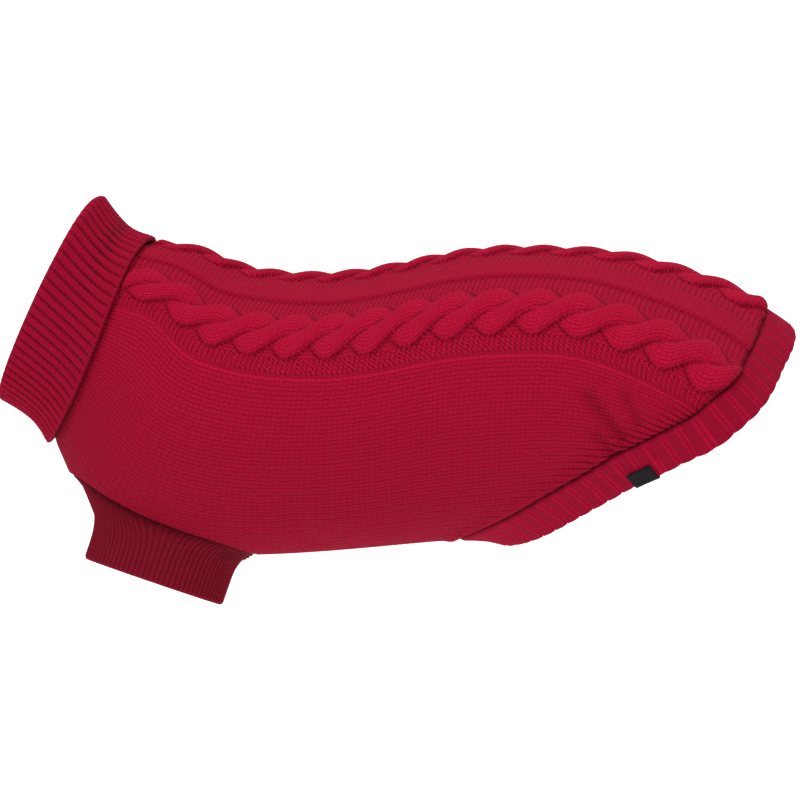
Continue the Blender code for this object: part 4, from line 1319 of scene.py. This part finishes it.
def hem_rows(hem):
    """A function that gives the hem's points at a share of its width and a height."""
    spot, normal = body(hem[:, 0], hem[:, 1])
    spot = spot + normal * SIDE_RISE
    run = np.roll(spot, -1, axis=0) - np.roll(spot, 1, axis=0)
    run /= np.linalg.norm(run, axis=1, keepdims=True)
    away = np.cross(run, normal)
    away /= np.linalg.norm(away, axis=1, keepdims=True)
    belly_course, tail_course = HEM[-1][1], HEM[0][1]
    width = ramp(hem[:, 1], belly_course, tail_course, HEM_WIDTH_BELLY, HEM_WIDTH_TAIL)
    tuck = ramp(hem[:, 1], belly_course, tail_course, HEM_TUCK_BELLY, HEM_TUCK_TAIL)

    def row(share, lift, past=0.0):
        reach = SEAM_GAP + (width - SEAM_GAP) * share + past
        height = lift - tuck * share ** 2
        return spot + away * reach[:, None] + normal * np.reshape(height, (-1, 1))

    return row


def build_hem(colours):
    """The flat rib band: wide knit strips with a pair of thin raised lines between them."""
    steps = HEM_STRIP_STEPS
    hem = hem_places(HEM_BACK_STRIPS * steps, (HEM_STRIPS - HEM_BACK_STRIPS) * steps)
    row = hem_rows(hem)
    number = np.arange(len(hem)) / steps
    part = number - np.floor(number)
    line = sum(mound(part, shape) for shape in HEM_LINES)
    groove = mound(part, HEM_GROOVE)
    bow = np.abs(np.sin(math.pi * (part - 0.5)))
    rib = 0.6 * line - 0.3 * groove + 0.4 * bow ** 0.5
    # Painted light on the raised lines and painted shade in the groove between them
    strip = 0.65 * line - 0.15 * groove
    scallop = HEM_SCALLOP * bow

    stations = list(HEM_FIRST_ROWS)
    stitches = np.linspace(*HEM_FACE_STITCHES, HEM_ROWS)
    for share, stitch in zip(np.linspace(*HEM_FACE, HEM_ROWS), stitches):
        seam = mound(share, HEM_SEAM)
        # Painted shade along the hem seam
        shade = -mound(share, HEM_SEAM_PAINTED_SHADE)
        stations.append(
            (share, 1.0 - seam, -HEM_SEAM_DEPTH * seam, 0.0, 0.0, 1.0 - seam, shade, stitch)
        )
    stations += HEM_LAST_ROWS
    rows, painted_shading, stitch_rows = [], [], []
    for share, ribs, height, scallops, past, strips, shade, stitch in stations:
        rows.append(row(share, rib * ribs + height, scallop * scallops + past))
        painted_shading.append(strip * strips + shade)
        stitch_rows.append(stitch)
    marks = {"purl": [0.8 * groove] * len(rows), "painted_shading": painted_shading}
    material = wool_knit(
        "wool blend, flat rib knitted, hem", colours.rib, depth=0.2, contrast=0.22
    )
    piece = ring_piece("rib_hem", rows, stitch_rows, number * 4.0, marks, material, "hem_band")
    return piece


def build_sleeve(name, node, side, colours):
    """A short sleeve in narrow ribs, from its armhole to a soft rim."""
    count = SLEEVE_RIB_STEPS * SLEEVE_RIBS
    angle = 2.0 * math.pi * np.arange(count) / count
    start, normal = body(*arm_place(angle, side, SLEEVE_GAP).T)
    start = start + normal * SLEEVE_OVER
    turned_in, turned_normal = body(*arm_place(angle, side, SLEEVE_TURNED_IN).T)
    mirror = np.array([1.0, -side, 1.0])
    middle, along, out = (
        np.array(v) * mirror for v in (SLEEVE_RIM_MIDDLE, SLEEVE_RIM_ALONG, SLEEVE_RIM_OUT)
    )
    middle[1] += SLEEVE_MIRROR * (1.0 + side)
    rim = middle + np.cos(angle)[:, None] * along + np.sin(angle)[:, None] * out
    axis = np.cross(along, out) * side
    axis /= np.linalg.norm(axis)
    drop = (rim - start) @ axis
    shift = rim - start - drop[:, None] * axis
    number = np.arange(count) / SLEEVE_RIB_STEPS
    crown, groove = rib_form(number)
    rib = SLEEVE_RIB_RISE * crown
    rearness = np.clip(np.cos(angle), 0.0, 1.0)
    soon = SLEEVE_DRAW_FRONT + (SLEEVE_DRAW_REAR - SLEEVE_DRAW_FRONT) * rearness
    outer = ramp(np.sin(angle), *SLEEVE_INNER)
    soon = SLEEVE_DRAW_INNER + (soon - SLEEVE_DRAW_INNER) * outer

    def skin(share):
        drawn = 1.0 - max(1.0 - share, 0.0) ** soon
        return start + axis * (drop * share)[:, None] + shift * drawn[:, None]

    def outward(share):
        ring = skin(share)
        run = np.roll(ring, -SLEEVE_BLEND, axis=0) - np.roll(ring, SLEEVE_BLEND, axis=0)
        facing = np.cross(axis, run)
        facing /= np.linalg.norm(facing, axis=1, keepdims=True)
        inward = ring.mean(axis=0) - ring
        return facing * -np.sign(np.sum(facing * inward))

    ribs, height, grooves, shade = SLEEVE_FACE_ROW
    stations = []
    stitches = np.linspace(*SLEEVE_FACE_STITCHES, SLEEVE_ROWS)
    for share, stitch in zip(np.linspace(*SLEEVE_FACE, SLEEVE_ROWS), stitches):
        seam = mound(share, SLEEVE_SEAM)
        kept = ribs - SLEEVE_SEAM_FLAT * seam
        stations.append((share, kept, height, grooves, shade + SLEEVE_SEAM_PAINTED_SHADE * seam, stitch))
    rows, painted_shading, stitch_rows = [], [], []
    for share, kept, height, grooves, shade, stitch in (*stations, *SLEEVE_RIM_ROWS):
        rows.append(skin(share) + outward(share) * (rib * kept + height)[:, None])
        # Painted shade in the grooves, and the row's painted light and shade
        painted_shading.append(grooves * groove + shade)
        stitch_rows.append(stitch)

    def hidden(depth, turned_depth, shade, stitches):
        pair = [start - normal * depth, turned_in - turned_normal * turned_depth]
        return pair, [np.full(count, shade)] * 2, list(stitches)

    pair, painted_shades, stitches = hidden(*SLEEVE_FIRST_ROWS)
    rows, painted_shading, stitch_rows = pair[::-1] + rows, painted_shades + painted_shading, stitches + stitch_rows
    pair, painted_shades, stitches = hidden(*SLEEVE_LAST_ROWS)
    rows, painted_shading, stitch_rows = rows + pair, painted_shading + painted_shades, stitch_rows + stitches
    marks = {"purl": [0.5 * groove] * len(rows), "painted_shading": painted_shading}
    material = wool_knit(
        "wool blend, rib knitted, " + name, colours.cuff_and_painted_shade, depth=0.25, contrast=0.2
    )
    piece = ring_piece(name, rows, stitch_rows, number, marks, material, node)
    return piece


def build_label(colours):
    """A small satin label folded over the hem's edge, left bare."""
    hem = hem_places(*HEM_STEPS_FOR_LABEL)
    row = hem_rows(hem)
    length = running_length(row(1.0, np.zeros(len(hem))))
    half = HEM_STEPS_FOR_LABEL[0] // 2
    middle = np.interp(LABEL_COURSE, hem[:half, 1], length[:half])
    at = middle + np.linspace(-LABEL_WIDE / 2.0, LABEL_WIDE / 2.0, LABEL_COLUMNS + 1)
    up = 1.0 - LABEL_HIGH / HEM_WIDTH_BELLY
    under = -RIB_WALL - SEAM_GAP
    centre, reach = (LABEL_OVER + under) / 2.0, (LABEL_OVER - under) / 2.0
    steps = np.arange(LABEL_ROWS + 1) / LABEL_ROWS
    middle_line = [(up + (1.0 - up) * k, LABEL_OVER, 0.0) for k in steps[:-1]]
    middle_line += [
        (1.0, centre + reach * math.cos(a), LABEL_OVER * math.sin(a)) for a in math.pi * steps
    ]
    middle_line += [(1.0 - (1.0 - up) * k, under, 0.0) for k in steps[1:]]
    face = []
    for share, lift, past in middle_line:
        line = row(share, np.full(len(hem), lift), past)
        face.append(np.stack([np.interp(at, length, line[:, k]) for k in range(3)], axis=1))
    face = np.array(face)
    down = np.gradient(face, axis=0)
    along = np.gradient(face, axis=1)
    facing = np.cross(down, along)
    facing /= np.linalg.norm(facing, axis=2, keepdims=True)
    if np.sum(facing * (face - face.mean(axis=(0, 1)))) < 0.0:
        facing = -facing
    outer = face + facing * LABEL_THICK * 0.5
    rows, columns = face.shape[:2]
    points = np.concatenate([outer.reshape(-1, 3), face.reshape(-1, 3)])
    index = np.arange(rows * columns).reshape(rows, columns)
    shift = rows * columns
    faces = []
    for r in range(rows - 1):
        for c in range(columns - 1):
            quad = (index[r, c], index[r, c + 1], index[r + 1, c + 1], index[r + 1, c])
            faces.append(quad)
            faces.append(tuple(q + shift for q in quad[::-1]))
    ring = [*index[0, :-1], *index[:-1, -1], *index[-1, :0:-1], *index[:0:-1, 0]]
    for a, b in zip(ring, ring[1:] + ring[:1]):
        faces.append((b, a, a + shift, b + shift))
    faces = [tuple(int(c) for c in quad) for quad in faces]
    material = woven_satin("polyester satin, woven, label", colours.label)
    piece = make_piece(
        "satin_label", points, faces, lambda faces: np.zeros((4 * len(faces), 2)), {},
        material, "label",
    )
    return piece


def build_stage(stage):
    """The floor, soft lights and the camera."""
    low = CAD_BOX[0][2] - stage.drop
    mesh = bpy.data.meshes.new("floor")
    corners = [(-1.0, -1.0), (1.0, -1.0), (1.0, 1.0), (-1.0, 1.0)]
    mesh.from_pydata(
        [(x * FLOOR_HALF, y * FLOOR_HALF, low) for x, y in corners], [], [(0, 1, 2, 3)]
    )
    mesh.materials.append(opal_sheet("opal acrylic, cast, floor", stage.floor))
    add_object("floor", mesh)

    target = Vector(CAMERA_TARGET) * MM
    azimuth = math.radians(CAMERA_AZIMUTH)
    elevation = math.radians(CAMERA_ELEVATION)
    right = Vector((math.cos(azimuth), math.sin(azimuth), 0.0))
    back = Vector((
        math.sin(azimuth) * math.cos(elevation),
        -math.cos(azimuth) * math.cos(elevation),
        math.sin(elevation),
    ))
    camera_data = bpy.data.cameras.new("camera")
    camera_data.sensor_width = CAMERA_SENSOR
    camera_data.lens = CAMERA_SENSOR * CAMERA_DISTANCE / CAMERA_FIELD
    camera_data.clip_end = CAMERA_SIGHT
    camera = add_object("camera", camera_data)
    turn = Matrix((right, back.cross(right), back)).transposed()
    camera.matrix_world = Matrix.Translation(target + back * CAMERA_DISTANCE * MM) @ turn.to_4x4()
    bpy.context.scene.camera = camera

    for name, place, size, power in LAMPS:
        lamp_data = bpy.data.lights.new(name, "AREA")
        lamp_data.energy = power * stage.light
        lamp_data.size = size
        lamp = add_object(name, lamp_data)
        lamp.location = place
        lamp.rotation_euler = (Vector(place) - target).to_track_quat("Z", "Y").to_euler()

    world = bpy.data.worlds.new("studio")
    world.use_nodes = True
    fill(world.node_tree, world.node_tree.nodes["Background"], {
        "Color": (*linear("#FFFFFF"), 1.0), "Strength": SKY * stage.light,
    })
    bpy.context.scene.world = world
    bpy.context.scene.view_settings.view_transform = "Standard"


# ---------------------------------------------------------------- add-on


class KNITWEAR_OT_back(bpy.types.Operator):
    """Make the back panel"""

    bl_idname = "knitwear.back_panel"
    bl_label = "Back panel"

    def execute(self, context):
        build_back(in_millimetres(context.scene.knit_sizes), context.scene.yarn_colours)
        return {"FINISHED"}


class KNITWEAR_OT_belly(bpy.types.Operator):
    """Make the belly panel"""

    bl_idname = "knitwear.belly_panel"
    bl_label = "Belly panel"

    def execute(self, context):
        build_belly(in_millimetres(context.scene.knit_sizes), context.scene.yarn_colours)
        return {"FINISHED"}


class KNITWEAR_OT_collar(bpy.types.Operator):
    """Make the folded collar"""

    bl_idname = "knitwear.collar"
    bl_label = "Collar"

    def execute(self, context):
        build_collar(in_millimetres(context.scene.knit_sizes), context.scene.yarn_colours)
        return {"FINISHED"}


class KNITWEAR_OT_sleeves(bpy.types.Operator):
    """Make both sleeves"""

    bl_idname = "knitwear.sleeves"
    bl_label = "Sleeves"

    def execute(self, context):
        colours = context.scene.yarn_colours
        build_sleeve("rib_sleeve_left", "sleeve_left", -1.0, colours)
        build_sleeve("rib_sleeve_right", "sleeve_right", 1.0, colours)
        return {"FINISHED"}


class KNITWEAR_OT_hem(bpy.types.Operator):
    """Make the hem band"""

    bl_idname = "knitwear.hem_band"
    bl_label = "Hem band"

    def execute(self, context):
        build_hem(context.scene.yarn_colours)
        return {"FINISHED"}


class KNITWEAR_OT_label(bpy.types.Operator):
    """Make the bare label"""

    bl_idname = "knitwear.label"
    bl_label = "Label"

    def execute(self, context):
        build_label(context.scene.yarn_colours)
        return {"FINISHED"}


class KNITWEAR_OT_stage(bpy.types.Operator):
    """Make the floor, the lights and the camera"""

    bl_idname = "knitwear.stage"
    bl_label = "Stage"

    def execute(self, context):
        build_stage(context.scene.stage_settings)
        return {"FINISHED"}


class KNITWEAR_PT_panel(bpy.types.Panel):
    """Lists the pieces and their sizes"""

    bl_idname = "KNITWEAR_PT_panel"
    bl_label = "Dog pullover"
    bl_space_type = "VIEW_3D"
    bl_region_type = "UI"
    bl_category = "Knitwear"

    def draw(self, context):
        layout = self.layout
        for group in ("knit_sizes", "yarn_colours", "stage_settings"):
            settings = getattr(context.scene, group)
            box = layout.box()
            for name in settings.__annotations__:
                box.prop(settings, name)
        for operator in OPERATORS:
            layout.operator(operator.bl_idname)


OPERATORS = (
    KNITWEAR_OT_back, KNITWEAR_OT_belly, KNITWEAR_OT_collar, KNITWEAR_OT_sleeves,
    KNITWEAR_OT_hem, KNITWEAR_OT_label, KNITWEAR_OT_stage,
)
CLASSES = (KnitSizes, YarnColours, StageSettings, *OPERATORS, KNITWEAR_PT_panel)
GROUPS = {"knit_sizes": KnitSizes, "yarn_colours": YarnColours, "stage_settings": StageSettings}


def register():
    for cls in CLASSES:
        bpy.utils.register_class(cls)
    for name, group in GROUPS.items():
        setattr(bpy.types.Scene, name, bpy.props.PointerProperty(type=group))


def unregister():
    for name in GROUPS:
        delattr(bpy.types.Scene, name)
    for cls in reversed(CLASSES):
        bpy.utils.unregister_class(cls)


def main():
    register()
    bpy.ops.knitwear.back_panel()
    bpy.ops.knitwear.belly_panel()
    bpy.ops.knitwear.collar()
    bpy.ops.knitwear.sleeves()
    bpy.ops.knitwear.hem_band()
    bpy.ops.knitwear.label()
    bpy.ops.knitwear.stage()


if __name__ == "__main__":
    main()
